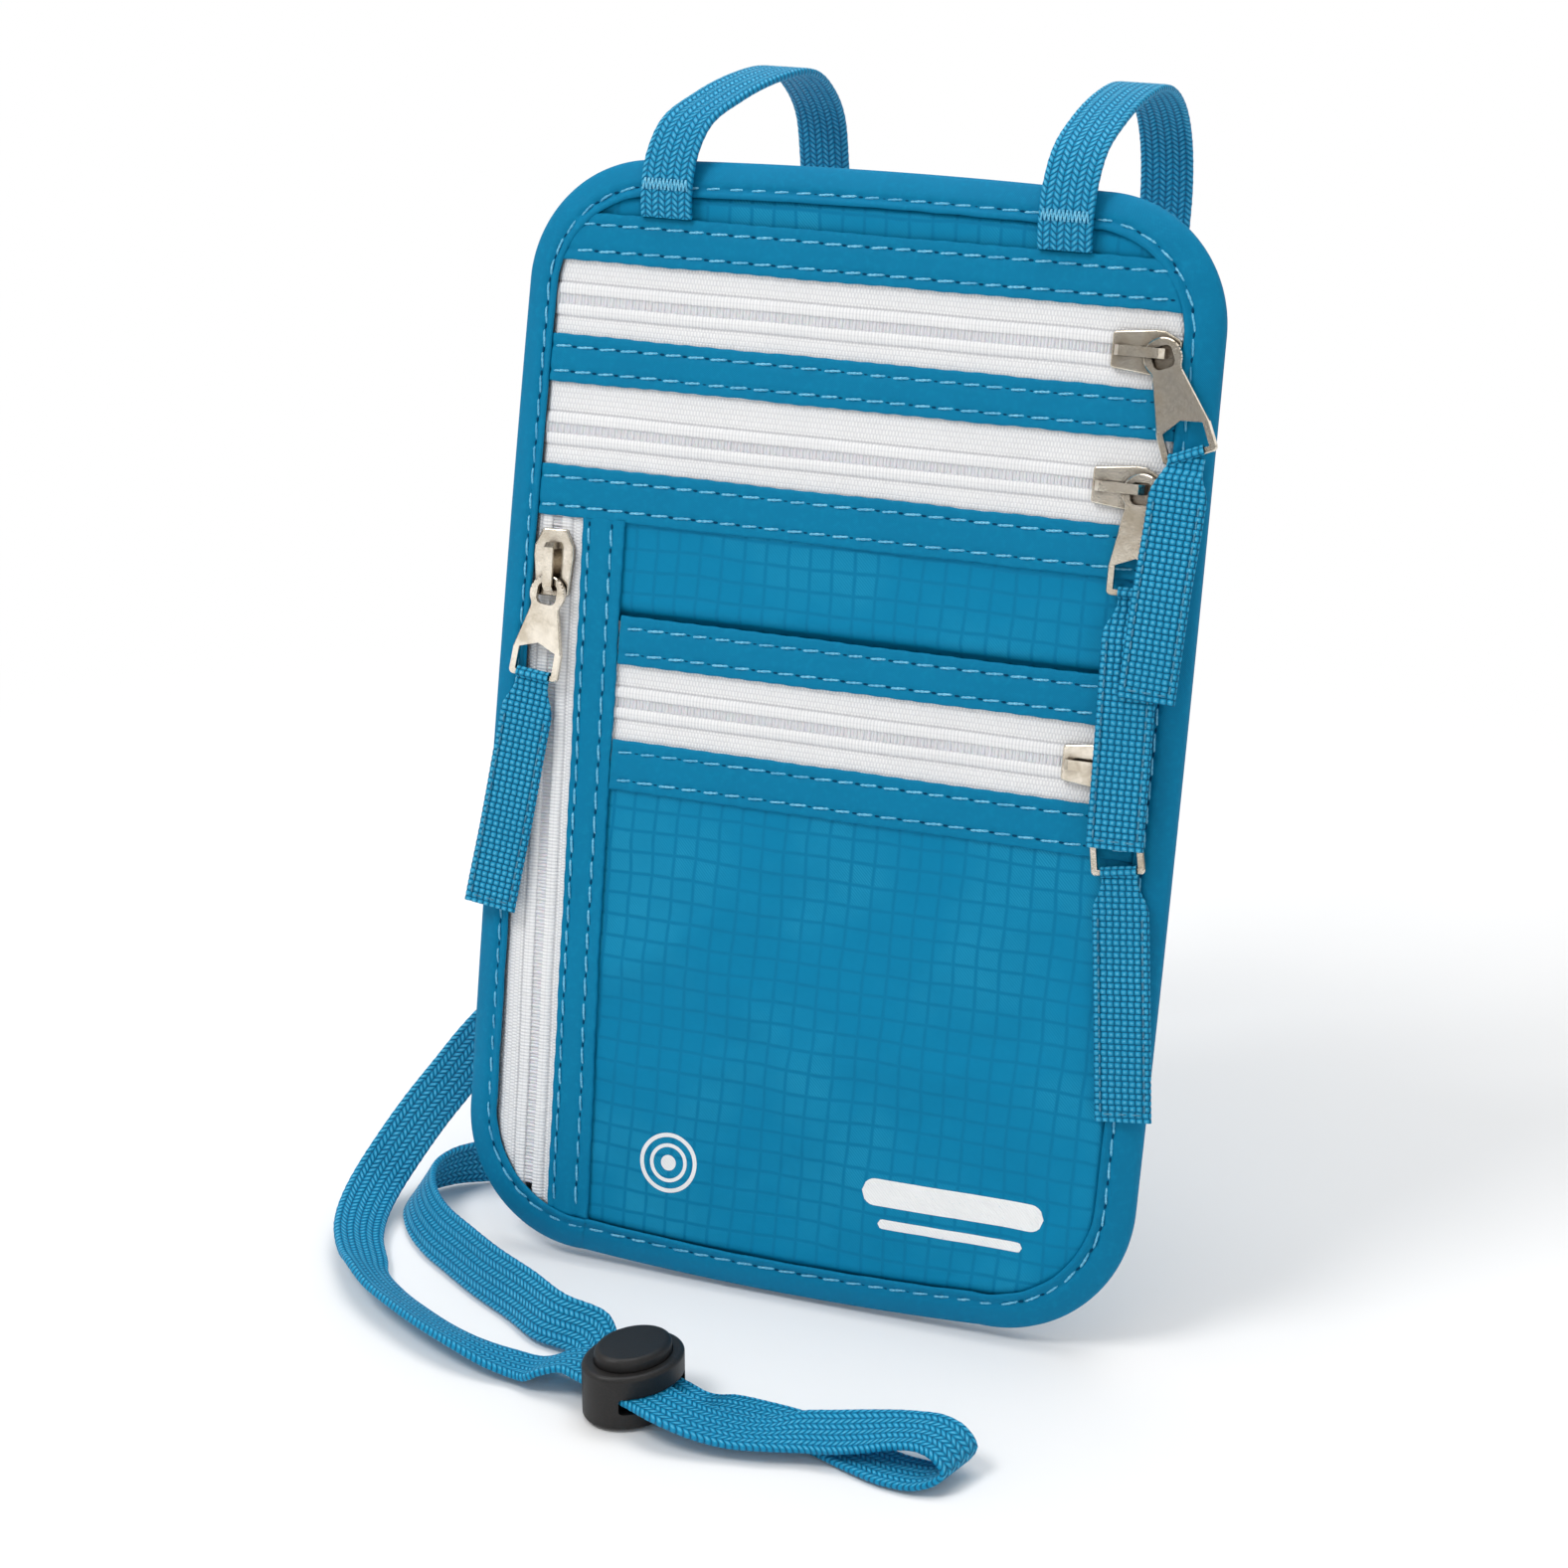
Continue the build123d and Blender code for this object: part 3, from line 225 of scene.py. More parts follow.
def arc(start, middle, end, count):
    """Points on the circle through three points, without the last."""
    (ax, ay), (bx, by), (cx, cy) = start, middle, end
    twice = 2 * (ax * (by - cy) + bx * (cy - ay) + cx * (ay - by))
    a_sq, b_sq, c_sq = ax * ax + ay * ay, bx * bx + by * by, cx * cx + cy * cy
    x = (a_sq * (by - cy) + b_sq * (cy - ay) + c_sq * (ay - by)) / twice
    y = (a_sq * (cx - bx) + b_sq * (ax - cx) + c_sq * (bx - ax)) / twice
    first = math.atan2(ay - y, ax - x)
    to_middle = (math.atan2(by - y, bx - x) - first) % (2 * math.pi)
    sweep = (math.atan2(cy - y, cx - x) - first) % (2 * math.pi)
    if to_middle > sweep:
        sweep -= 2 * math.pi
    angle = first + sweep * np.linspace(0, 1, count, endpoint=False)
    radius = math.hypot(ax - x, ay - y)
    return np.stack([x + radius * np.cos(angle), y + radius * np.sin(angle)], -1)


def ring(inset):
    """The pouch outline moved inwards, anticlockwise from the bottom left."""
    half, top, low = POUCH_W / 2 - inset, POUCH_H - inset, inset
    top_r, low_r = TOP_RADIUS - inset * 0.8, BOTTOM_RADIUS - inset * 0.8
    dent = BOW * 0.62
    diagonal = math.sqrt(0.5)
    corner_x = half - low_r + low_r * diagonal
    corner_y = low + low_r - low_r * diagonal + dent * 0.6
    top_x = half - top_r + top_r * diagonal
    starts = [
        (-(half - low_r), low + BOW), (half - low_r, low + BOW),
        (half - BOW * 0.3, low + low_r), (half - BOW * 0.3, top - top_r),
        (half - top_r, top - BOW * 0.5), (-(half - top_r), top - BOW * 0.9),
        (-(half - BOW * 0.3), top - top_r - 1), (-(half - BOW * 0.8), low + low_r),
    ]
    middles = [
        (0, low), (corner_x - dent * 0.4, corner_y), (half, (low + top) / 2),
        (top_x - dent * 0.4, top - top_r + top_r * diagonal - dent * 0.4), (0, top),
        (-(top_x - dent * 0.6), top - top_r - 0.5 + top_r * diagonal - dent * 0.4),
        (-half, (low + top) / 2), (-(corner_x - dent * 0.6), corner_y),
    ]
    return np.concatenate([arc(starts[i], middles[i], starts[(i + 1) % 8], RING_COUNTS[i])
                           for i in range(8)])


RIM = ring(0)
RIM_RUN = running_length(RIM)
UNDER = ring(SHEET_INSET)


def read_edge(points, axis, value):
    """The other coordinate of edge points where one coordinate has a value."""
    points = points[np.argsort(points[:, axis])]
    return np.interp(value, points[:, axis], points[:, 1 - axis])


def limits(y):
    """Left and right x of the sheets at height y."""
    y = np.clip(y, UNDER[:, 1].min(), UNDER[:, 1].max())
    return read_edge(UNDER[UNDER[:, 0] < 0], 1, y), read_edge(UNDER[UNDER[:, 0] > 0], 1, y)


def ends(x, edge=UNDER):
    """Low and high y of an edge ring at x."""
    upper = edge[:, 1] >= POUCH_H / 2
    return read_edge(edge[~upper], 0, x), read_edge(edge[upper], 0, x)


def measure_rim_distance():
    """Distance to the outline, as a field on a 0.75 mm grid."""
    xs, ys = np.arange(-69, 69.01, 0.75), np.arange(-2, 209.01, 0.75)
    points = np.stack(np.meshgrid(xs, ys, indexing="ij"), -1).reshape(-1, 2)
    nearest = [np.sqrt(((some[:, None] - RIM[None, ::2]) ** 2).sum(-1).min(1))
               for some in np.array_split(points, 60)]      # in batches, to save memory
    return xs, ys, np.concatenate(nearest).reshape(len(xs), len(ys))


RIM_DISTANCE = measure_rim_distance()


def edge_distance(x, y):
    return sample(RIM_DISTANCE, x, y)


def grid_quads(rows, cols, close_cols=False):
    i, j = np.meshgrid(np.arange(rows - 1), np.arange(cols if close_cols else cols - 1),
                       indexing="ij")
    after = (j + 1) % cols
    corners = [i * cols + j, (i + 1) * cols + j, (i + 1) * cols + after, i * cols + after]
    return np.stack(corners, -1).reshape(-1, 4)


# ------------------------------------------------------------------ cloth relief
SIM_COUNTS = (46, 70)
SIM_X, SIM_LOW, SIM_HIGH = 60, 6.5, 200.5


def simulate_sheet(seed, pressure):
    """Relief, -1.3..1.3, of a sheet sewn down round its edge, grown a little and filled.

    The sheet is ten times larger than life, a scale that suits the solver."""
    xs = np.linspace(-SIM_X, SIM_X, SIM_COUNTS[0])
    ys = np.linspace(SIM_LOW, SIM_HIGH, SIM_COUNTS[1])
    x, y = np.meshgrid(xs, ys, indexing="ij")
    edge = np.minimum.reduce([x + SIM_X, SIM_X - x, y - SIM_LOW, SIM_HIGH - y])
    rng = np.random.default_rng(seed)
    points = np.stack([x / 100, y / 100, rng.normal(0, 0.0012, x.shape)], -1).reshape(-1, 3)
    mesh = bpy.data.meshes.new("sim_sheet")
    mesh.from_pydata(points.tolist(), [], grid_quads(*SIM_COUNTS).tolist())
    sheet = bpy.data.objects.new("sim_sheet", mesh)
    scene = bpy.context.scene
    scene.collection.objects.link(sheet)
    index = np.arange(x.size).reshape(SIM_COUNTS)
    border = np.unique(np.concatenate([index[0], index[-1], index[:, 0], index[:, -1]]))
    sheet.vertex_groups.new(name="pin").add([int(i) for i in border], 1.0, "REPLACE")
    cloth = sheet.modifiers.new("cloth", "CLOTH")
    settings = cloth.settings
    settings.vertex_group_mass = "pin"
    settings.quality = 6
    settings.mass = 0.2
    settings.tension_stiffness = settings.compression_stiffness = 12
    settings.shear_stiffness = 6
    settings.bending_stiffness = 0.25
    settings.air_damping = 2.5
    settings.shrink_min = settings.shrink_max = -0.035      # negative: the cloth grows
    settings.use_pressure = True
    settings.uniform_pressure_force = pressure
    settings.effector_weights.gravity = 0
    cloth.collision_settings.use_collision = False
    cloth.point_cache.frame_start = 1
    cloth.point_cache.frame_end = 40
    for step in range(1, 37):
        scene.frame_set(step)
    evaluated = sheet.evaluated_get(bpy.context.evaluated_depsgraph_get())
    result = np.zeros(x.size * 3, np.float32)
    evaluated.to_mesh().vertices.foreach_get("co", result)
    z = result.reshape(-1, 3)[:, 2].reshape(SIM_COUNTS).astype(float)
    evaluated.to_mesh_clear()
    bpy.data.objects.remove(sheet, do_unlink=True)
    bpy.data.meshes.remove(mesh)
    scene.frame_set(1)
    z -= np.median(z)
    z /= max(np.percentile(np.abs(z), 96), 1e-6)
    return xs, ys, np.clip(z, -1.3, 1.3) * smooth(edge, -1, 9)


FRONT_SHEET = simulate_sheet(seed=3, pressure=0.9)
BACK_SHEET = simulate_sheet(seed=8, pressure=1.6)


def relief(x, y):
    """How far the front stands off its flat shape: free in the panels, held by the seams."""
    x, y = np.broadcast_arrays(np.asarray(x, float), np.asarray(y, float))
    lower_panel = smooth(88 - y, 0, 16)
    middle_panel = smooth(139 - y, 0, 5) * smooth(y - 122.5, 0, 5)
    amount = 0.10 + 0.50 * lower_panel + 0.10 * middle_panel
    amount = amount * (0.15 + 0.85 * smooth(x, -43, -34))
    small = 0.05 * value_noise(x, y, 7.0, 21) + 0.03 * value_noise(x, y, 3.1, 22)
    return sample(FRONT_SHEET, x, y) * amount + small * smooth(edge_distance(x, y), 6, 9)


def tuck(x, y):
    """How far sheets turn down as they go under the binding."""
    return 1.15 * np.clip(7.1 - edge_distance(x, y), 0, 2.5)


# ------------------------------------------------------------------ node graphs
def srgb(red, green, blue):
    """Linear RGBA of an 8-bit display colour."""
    colour = np.array([red, green, blue]) / 255
    linear = np.where(colour <= 0.04045, colour / 12.92, ((colour + 0.055) / 1.055) ** 2.4)
    return (*[float(x) for x in linear], 1.0)


class Value:
    """A node output that takes arithmetic: each operation adds nodes to its graph."""

    def __init__(self, graph, socket):
        self.graph = graph
        self.socket = socket

    def math(self, operation, second=0.0, third=0.0):
        return self.graph.math(operation, self, second, third)

    def __add__(self, other):
        return self.math("ADD", other)

    def __sub__(self, other):
        return self.math("SUBTRACT", other)

    def __rsub__(self, other):
        return self.graph.math("SUBTRACT", other, self)

    def __mul__(self, other):
        return self.math("MULTIPLY", other)

    def __truediv__(self, other):
        return self.math("DIVIDE", other)

    def __mod__(self, other):
        return self.math("MODULO", other)

    def __abs__(self):
        return self.math("ABSOLUTE")

    def floor(self):
        return self.math("FLOOR")

    def fract(self):
        return self.math("FRACT")

    def max(self, other):
        return self.math("MAXIMUM", other)

    def scaled(self, by, plus):
        return self.math("MULTIPLY_ADD", by, plus)

    def sine(self, period):
        return (self * (2 * math.pi / period)).math("SINE")

    def swell(self, power):
        """The positive part to a power below 1: a rounder yarn."""
        return self.max(0.0001).math("POWER", power)

    def ramp(self, low, high, start=0.0, end=1.0):
        """Smooth change from start to end as the value goes from low to high."""
        inputs = dict(enumerate((self, low, high, start, end)))
        return self.graph.node("MapRange", inputs, interpolation_type="SMOOTHSTEP")

    def fall(self, low, high):
        return self.ramp(low, high, start=1.0, end=0.0)


class Graph:
    """Short calls for building a node tree."""

    def __init__(self, tree):
        self.tree = tree
        tree.nodes.clear()

    def put(self, socket, value):
        """Link a value or an output to an input, or set a constant there."""
        value = getattr(value, "socket", value)
        if isinstance(value, bpy.types.NodeSocket):
            self.tree.links.new(value, socket)
        else:
            socket.default_value = value

    def add(self, kind, inputs={}, **settings):
        made = self.tree.nodes.new("ShaderNode" + kind)
        for key, value in settings.items():
            setattr(made, key, value)
        for key, value in inputs.items():
            self.put(made.inputs[key], value)
        return made

    def node(self, kind, inputs={}, output=0, **settings):
        return Value(self, self.add(kind, inputs, **settings).outputs[output])

    def math(self, operation, *operands):
        return self.node("Math", dict(enumerate(operands + (0.0,) * (3 - len(operands)))),
                         operation=operation)


class Material(Graph):
    def __init__(self, name):
        self.material = bpy.data.materials.new(name)
        self.material.use_nodes = True
        super().__init__(self.material.node_tree)
        self.output = self.add("OutputMaterial")
        self.shader = self.add("BsdfPrincipled")
        self.put(self.output.inputs[0], self.shader.outputs[0])

    def uv(self):
        """The two UV coordinates, which are in mm."""
        split = self.add("SeparateXYZ", {0: self.node("UVMap", uv_map="uv")})
        return Value(self, split.outputs[0]), Value(self, split.outputs[1])

    def place(self):
        """Object coordinates, m."""
        return self.node("TexCoord", output="Object")

    def xyz(self, x, y, z=0.0):
        return self.node("CombineXYZ", {0: x, 1: y, 2: z})

    def noise(self, vector, scale, detail=2.0, roughness=0.5):
        inputs = {"Vector": vector, "Scale": scale, "Detail": detail, "Roughness": roughness}
        return self.node("TexNoise", inputs, output="Fac")

    def mix(self, amount, under, over):
        return self.node("Mix", {0: amount, 6: under, 7: over}, output=2, data_type="RGBA")

    def set(self, **inputs):
        for key, value in inputs.items():
            self.put(self.shader.inputs[key.replace("_", " ")], value)

    def finish(self, height, depth, strength=1.0, **inputs):
        """Set the shader's inputs, with height as a bump of a depth in m."""
        bump = self.node("Bump", {"Strength": strength, "Distance": depth, "Height": height})
        self.set(Normal=bump, **inputs)
        return self.material


# ------------------------------------------------------------------ materials
def ripstop():
    """A wavering grid of heavy yarns over fine twill that catches light in patches."""
    mat = Material("ripstop_weave")
    dark = srgb(0, 113, 156)
    pitch_x, pitch_y = 4.3, 4.0
    waver = 2.2
    x, y = mat.uv()
    grid_x = x + mat.noise(mat.xyz(x, y), scale=0.045) * waver
    grid_y = y + mat.noise(mat.xyz(y, x, 7.0), scale=0.045) * waver
    lines_x = grid_x.math("PINGPONG", pitch_x / 2).fall(low=0.10, high=0.50)
    lines_y = grid_y.math("PINGPONG", pitch_y / 2).fall(low=0.10, high=0.50)
    lines = lines_x.max(lines_y)
    twill = (x + y).sine(period=0.62).scaled(by=0.5, plus=0.5)
    cell = mat.xyz((grid_x / pitch_x).floor(), (grid_y / pitch_y).floor())
    square = mat.node("TexWhiteNoise", {"Vector": cell}, noise_dimensions="2D")
    patchy = mat.noise(mat.xyz(x, y, 3.0), scale=0.035, detail=3).ramp(low=0.42, high=0.66)
    sheen = twill * patchy * (1.0 - lines) * square.scaled(by=0.5, plus=0.5)
    specks = mat.noise(mat.xyz(x, y, 9.0), scale=0.9)
    pale_share, dark_share = 0.80, 0.48
    colour = mat.mix(sheen * pale_share, srgb(0, 130, 174), srgb(38, 156, 194))
    colour = mat.mix(lines * dark_share, colour, dark)
    colour = mat.mix(specks.ramp(low=0.35, high=0.8, end=0.10), colour, dark)
    # bump shares: sunk grid lines, twill, soft lumps
    line_bump, twill_bump, lump_bump = -0.7, 0.10, 1.6
    lumps = mat.noise(mat.xyz(x, y, 5.0), scale=0.35, detail=3)
    height = lines * line_bump + twill * twill_bump + lumps * lump_bump
    return mat.finish(height, depth=0.00006, Base_Color=colour,
                      Roughness=twill.scaled(by=0.10, plus=0.55), Specular_IOR_Level=0.12)


def plain_weave(name, base, dark, pale):
    """Tight plain-woven tape: a fine weave, slow colour change and pale flecks."""
    mat = Material(name)
    pitch = 0.36
    x, y = mat.uv()
    weave = x.sine(period=pitch) * y.sine(period=pitch * 0.9)
    slow = mat.noise(mat.place(), scale=55.0, detail=4, roughness=0.6)
    fine = mat.noise(mat.place(), scale=900.0)
    colour = mat.mix(slow.ramp(low=0.3, high=0.7, end=0.28), base, dark)
    colour = mat.mix(fine.ramp(low=0.45, high=0.8, end=0.30), colour, pale)
    # painted highlight: the raised cells of the weave are painted a little paler
    colour = mat.mix(weave.scaled(by=0.05, plus=0.05), colour, pale)
    weave_bump, slow_bump = 0.3, 2.0
    return mat.finish(weave * weave_bump + slow * slow_bump, depth=0.00005, Base_Color=colour,
                      Roughness=fine.scaled(by=0.15, plus=0.55), Specular_IOR_Level=0.12)


def zip_tape():
    """White knitted tape: upright dashes on the flat part, close ribs over the coil."""
    mat = Material("zip_tape_weave")
    row_pitch, dash_pitch, rib_pitch = 0.95, 0.62, 0.64
    along, across = mat.uv()
    off = abs(across)
    rib = off.ramp(low=0.75, high=0.95) * off.fall(low=2.95, high=3.15)
    tick = along.sine(period=rib_pitch).scaled(by=0.5, plus=0.5)
    # every other row is shifted by half a dash
    shift = abs((across / row_pitch).floor()) % 2.0 * 0.5
    x = (along / dash_pitch + shift).fract()
    y = (across / row_pitch).fract()
    dash = abs(x - 0.5).fall(low=0.12, high=0.42)
    dash = dash * abs(y - 0.5).ramp(low=0.25, high=0.5, start=1.0, end=0.2)
    height = rib * tick + (1.0 - rib) * dash
    slow = mat.noise(mat.place(), scale=70.0, detail=3)
    # painted highlight and shade: the raised dashes and rib ticks are painted whiter than the low
    # parts between them
    colour = mat.mix(height.ramp(low=0.0, high=0.9), srgb(232, 232, 234), srgb(254, 254, 254))
    colour = mat.mix(slow.ramp(low=0.35, high=0.75, end=0.12), colour, srgb(224, 225, 228))
    # grooves, painted grey as shade: outside the rib, at its edge by the coil, and a faint one on
    # its crown
    outer_groove, crown_groove, crown_share, groove_shade_share = 3.14, 1.95, 0.28, 0.55
    groove_shade = abs(off - outer_groove).fall(low=0.06, high=0.34)
    groove_shade = groove_shade.max(off.fall(low=0.82, high=1.12))
    groove_shade = groove_shade.max(abs(off - crown_groove).fall(low=0.02, high=0.22) * crown_share)
    colour = mat.mix(groove_shade * groove_shade_share, colour, srgb(182, 182, 187))
    return mat.finish(height, depth=0.00009, Base_Color=colour, Roughness=0.75,
                      Specular_IOR_Level=0.25, Sheen_Weight=0.2)


def coil_plastic():
    mat = Material("zip_coil_nylon")
    fine = mat.noise(mat.place(), scale=1500.0)
    colour = mat.mix(fine, srgb(222, 222, 226), srgb(236, 236, 239))
    return mat.finish(fine, depth=0.00002, Base_Color=colour,
                      Roughness=fine.scaled(by=0.2, plus=0.3), Specular_IOR_Level=0.5,
                      Subsurface_Weight=0.15, Subsurface_Scale=0.0006)


def braid():
    """Flat braid: columns of slanting yarns that lean the other way in each next column."""
    mat = Material("strap_braid")
    column_w, pitch, slant = 1.28, 1.08, 0.95
    across, along = mat.uv()
    place = across / column_w + 20.0        # keeps the column number positive
    column = place.floor()
    x = place - column - 0.5
    side = 1.0 - column % 2.0 * 2.0
    phase = (along / pitch + x * side * slant).fract()
    yarn = phase.sine(period=2).swell(power=0.6)
    crown = (x * math.pi).math("COSINE").swell(power=0.45)
    height = yarn * crown
    fibre = mat.noise(mat.xyz(across * 3.0, along), scale=2.2, detail=3)
    slow = mat.noise(mat.place(), scale=40.0, detail=3)
    # painted shade and highlight: the yarns are painted dark in their hollows and bright on their
    # crowns, and the highest crowns get paler painted highlights broken up by the fibres
    highlight_and_wear = height.ramp(low=0.70, high=1.0) * fibre.ramp(low=0.35, high=0.7, start=0.15, end=0.75)
    colour = mat.mix(height.ramp(low=0.05, high=0.75), srgb(0, 86, 128), srgb(6, 150, 198))
    colour = mat.mix(highlight_and_wear, colour, srgb(120, 212, 240))
    colour = mat.mix(slow.ramp(low=0.35, high=0.7, end=0.18), colour, srgb(0, 124, 176))
    fibre_bump = 0.12
    return mat.finish(height + fibre * fibre_bump, depth=0.00028, Base_Color=colour,
                      Roughness=0.55, Specular_IOR_Level=0.25)


def webbing():
    """Ribbon weave: painted shade in the hollows, fibres and painted highlights over the weave in
    the mesh.
    """
    mat = Material("ribbon_webbing")
    across, along = mat.uv()
    shift = abs((along / WEAVE_Y).floor()) % 2.0 * WEAVE_SHIFT
    bumps_x = (across / WEAVE_X + shift).fract().sine(period=2)
    bumps_y = (along / WEAVE_Y).fract().sine(period=2)
    height = bumps_x.swell(power=0.6) * bumps_y.swell(power=0.6)
    fibre = mat.noise(mat.xyz(across, along * 3.0), scale=2.5, detail=3)
    slow = mat.noise(mat.place(), scale=60.0, detail=3)
    # painted shade and highlight: the weave is painted dark in its hollows and bright on its bumps,
    # and the highest bumps get paler painted highlights broken up by the fibres
    highlight_and_wear = height.ramp(low=0.66, high=1.0) * fibre.ramp(low=0.4, high=0.7, start=0.2, end=1.0)
    colour = mat.mix(height.ramp(low=0.05, high=0.62), srgb(0, 80, 116), srgb(26, 154, 200))
    colour = mat.mix(highlight_and_wear, colour, srgb(112, 200, 228))
    colour = mat.mix(slow.ramp(low=0.35, high=0.7, end=0.2), colour, srgb(0, 122, 164))
    fibre_bump = 0.15
    return mat.finish(height + fibre * fibre_bump, depth=0.00025, Base_Color=colour,
                      Roughness=0.6, Specular_IOR_Level=0.2)


def thread(name, base, dark, pale):
    mat = Material(name)
    fine = mat.noise(mat.place(), scale=2600.0)
    slow = mat.noise(mat.place(), scale=120.0)
    colour = mat.mix(fine.ramp(low=0.35, high=0.7), base, pale)
    colour = mat.mix(slow.ramp(low=0.45, high=0.75, end=0.6), colour, dark)
    return mat.finish(fine, depth=0.00004, Base_Color=colour, Roughness=0.5,
                      Specular_IOR_Level=0.4, Sheen_Weight=0.2)


def nickel():
    """Bright nickel plate: fine brushing, haze and painted dark brown shade in the hollows."""
    mat = Material("nickel_plate")
    place = mat.place()
    haze = mat.noise(place, scale=160.0, detail=4, roughness=0.6)
    fine = mat.noise(place, scale=2400.0, detail=3)
    wave = {"Vector": place, "Scale": 900.0, "Distortion": 9.0, "Detail": 3.0}
    scratch = mat.node("TexWave", wave, output="Fac")
    colour = mat.mix(haze.ramp(low=0.35, high=0.7), srgb(232, 224, 210), srgb(200, 188, 168))
    # painted shade: hollows that the occlusion node finds are painted dark brown
    hollow = mat.node("AmbientOcclusion", {"Distance": 0.0022}, output="AO", samples=6)
    shade = hollow.ramp(low=0.45, high=0.95, start=0.85, end=0.0)
    colour = mat.mix(shade, colour, srgb(84, 68, 52))
    fine_rough, scratch_bump = 0.05, 0.25
    return mat.finish(scratch * scratch_bump + fine, depth=0.000006, Base_Color=colour,
                      Metallic=1.0, Roughness=haze.scaled(by=0.12, plus=0.06) + fine * fine_rough)


def moulded(name, base, pale):
    """Grained moulded plastic with paler flecks."""
    mat = Material(name)
    place = mat.place()
    grain = mat.noise(place, scale=2600.0, detail=3, roughness=0.6)
    slow = mat.noise(place, scale=120.0, detail=3)
    slow_rough = 0.12
    colour = mat.mix(grain.ramp(low=0.4, high=0.75, end=0.5), base, pale)
    return mat.finish(grain, depth=0.00004, strength=0.8, Base_Color=colour,
                      Roughness=slow * slow_rough + grain.scaled(by=0.12, plus=0.40),
                      Specular_IOR_Level=0.45)


def steel():
    mat = Material("spring_steel_wire")
    fine = mat.noise(mat.place(), scale=3000.0, detail=3)
    return mat.finish(fine, depth=0.000005, Metallic=1.0,
                      Base_Color=mat.mix(fine, srgb(150, 150, 152), srgb(196, 196, 198)),
                      Roughness=fine.scaled(by=0.2, plus=0.25))


def lining():
    """Metallised lining: fine silver weave."""
    mat = Material("shield_lining")
    x, y = mat.uv()
    weave = x.sine(period=0.5) * y.sine(period=0.5)
    crease = mat.noise(mat.xyz(x, y), scale=0.12, detail=4, roughness=0.6)
    crease_bump = 4.0
    # painted shade: the colour follows the crease height, darker in the low parts of the creases
    return mat.finish(weave + crease * crease_bump, depth=0.00003, Metallic=0.7,
                      Base_Color=mat.mix(crease, srgb(150, 152, 156), srgb(196, 198, 202)),
                      Roughness=weave.scaled(by=0.05, plus=0.42))


def ink():
    """White print that lets a little of the weave through."""
    mat = Material("print_ink")
    x, y = mat.uv()
    weave = (x + y).sine(period=0.62)
    highlight_and_wear = mat.noise(mat.xyz(x, y), scale=1.6, detail=3).ramp(low=0.62, high=0.75, end=0.35)
    colour = mat.mix(weave.scaled(by=0.03, plus=0.03) + highlight_and_wear,
                     srgb(250, 250, 250), srgb(190, 214, 226))
    return mat.finish(weave, depth=0.00002, Base_Color=colour, Roughness=0.6,
                      Specular_IOR_Level=0.3)


def needle_hole_shade():
    mat = Material("needle_hole_shade")
    fine = mat.noise(mat.place(), scale=2000.0)
    # painted shade: a real needle hole drawn as a dark disc laid on the cloth, dark for the hole and
    # the shade in it
    mat.set(Base_Color=mat.mix(fine, srgb(2, 52, 84), srgb(6, 74, 110)),
            Roughness=0.9, Specular_IOR_Level=0.1)
    return mat.material


MATERIALS = {
    "ripstop": ripstop(),
    "binding": plain_weave("binding_twill", base=srgb(0, 122, 165), dark=srgb(0, 106, 148),
                           pale=srgb(14, 144, 186)),
    "band": plain_weave("band_weave", base=srgb(0, 124, 167), dark=srgb(0, 110, 152),
                        pale=srgb(16, 146, 186)),
    "tape": zip_tape(),
    "coil": coil_plastic(),
    "braid": braid(),
    "webbing": webbing(),
    "thread": thread("seam_thread", base=srgb(74, 176, 216), dark=srgb(40, 148, 194),
                     pale=srgb(132, 210, 238)),
    "ribbon_thread": thread("ribbon_thread", base=srgb(34, 118, 152), dark=srgb(18, 90, 124),
                            pale=srgb(84, 158, 186)),
    "nickel": nickel(),
    "black": moulded("lock_acetal", base=srgb(14, 12, 11), pale=srgb(40, 35, 33)),
    "button": moulded("button_acetal", base=srgb(12, 10, 10), pale=srgb(34, 30, 29)),
    "steel": steel(),
    "lining": lining(),
    "ink": ink(),
    "hole_shade": needle_hole_shade(),
}


# ------------------------------------------------------------------ meshes
def face_vectors(points, quads):
    first, second, third, fourth = (points[quads[:, i]] for i in range(4))
    return np.cross(third - first, fourth - second), (first + second + third + fourth) / 4


def piece(name, points, quads, material, uv=None, body="pouch", replaces=None, face=None):
    """A mesh object from points in mm.

    face is the direction an open sheet looks in; without it faces turn from the middle."""
    points = np.ascontiguousarray(np.asarray(points, float).reshape(-1, 3) / 1000)
    quads = np.asarray(quads, np.int32)
    areas, centres = face_vectors(points, quads)
    if face is None:
        outward = np.einsum("ij,ij->i", areas, centres - points.mean(0)).sum()
    else:
        outward = (areas @ face).sum()
    if outward < 0:
        quads = quads[:, ::-1]
    mesh = bpy.data.meshes.new(name)
    mesh.vertices.add(len(points))
    mesh.vertices.foreach_set("co", points.astype(np.float32).ravel())
    mesh.loops.add(quads.size)
    mesh.loops.foreach_set("vertex_index", np.ascontiguousarray(quads).ravel())
    mesh.polygons.add(len(quads))
    mesh.polygons.foreach_set("loop_start", np.arange(0, quads.size, 4, dtype=np.int32))
    mesh.update(calc_edges=True)
    mesh.polygons.foreach_set("use_smooth", np.ones(len(quads), bool))
    uv = np.zeros((len(points), 2)) if uv is None else np.asarray(uv, float).reshape(-1, 2)
    layer = mesh.uv_layers.new(name="uv")
    values = np.ascontiguousarray(uv[quads.ravel()], dtype=np.float32)
    layer.data.foreach_set("uv", values.ravel())
    mesh.materials.append(MATERIALS[material])
    made = bpy.data.objects.new(name, mesh)
    bpy.context.scene.collection.objects.link(made)
    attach(made, body)
    if replaces:
        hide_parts(replaces)
    return made


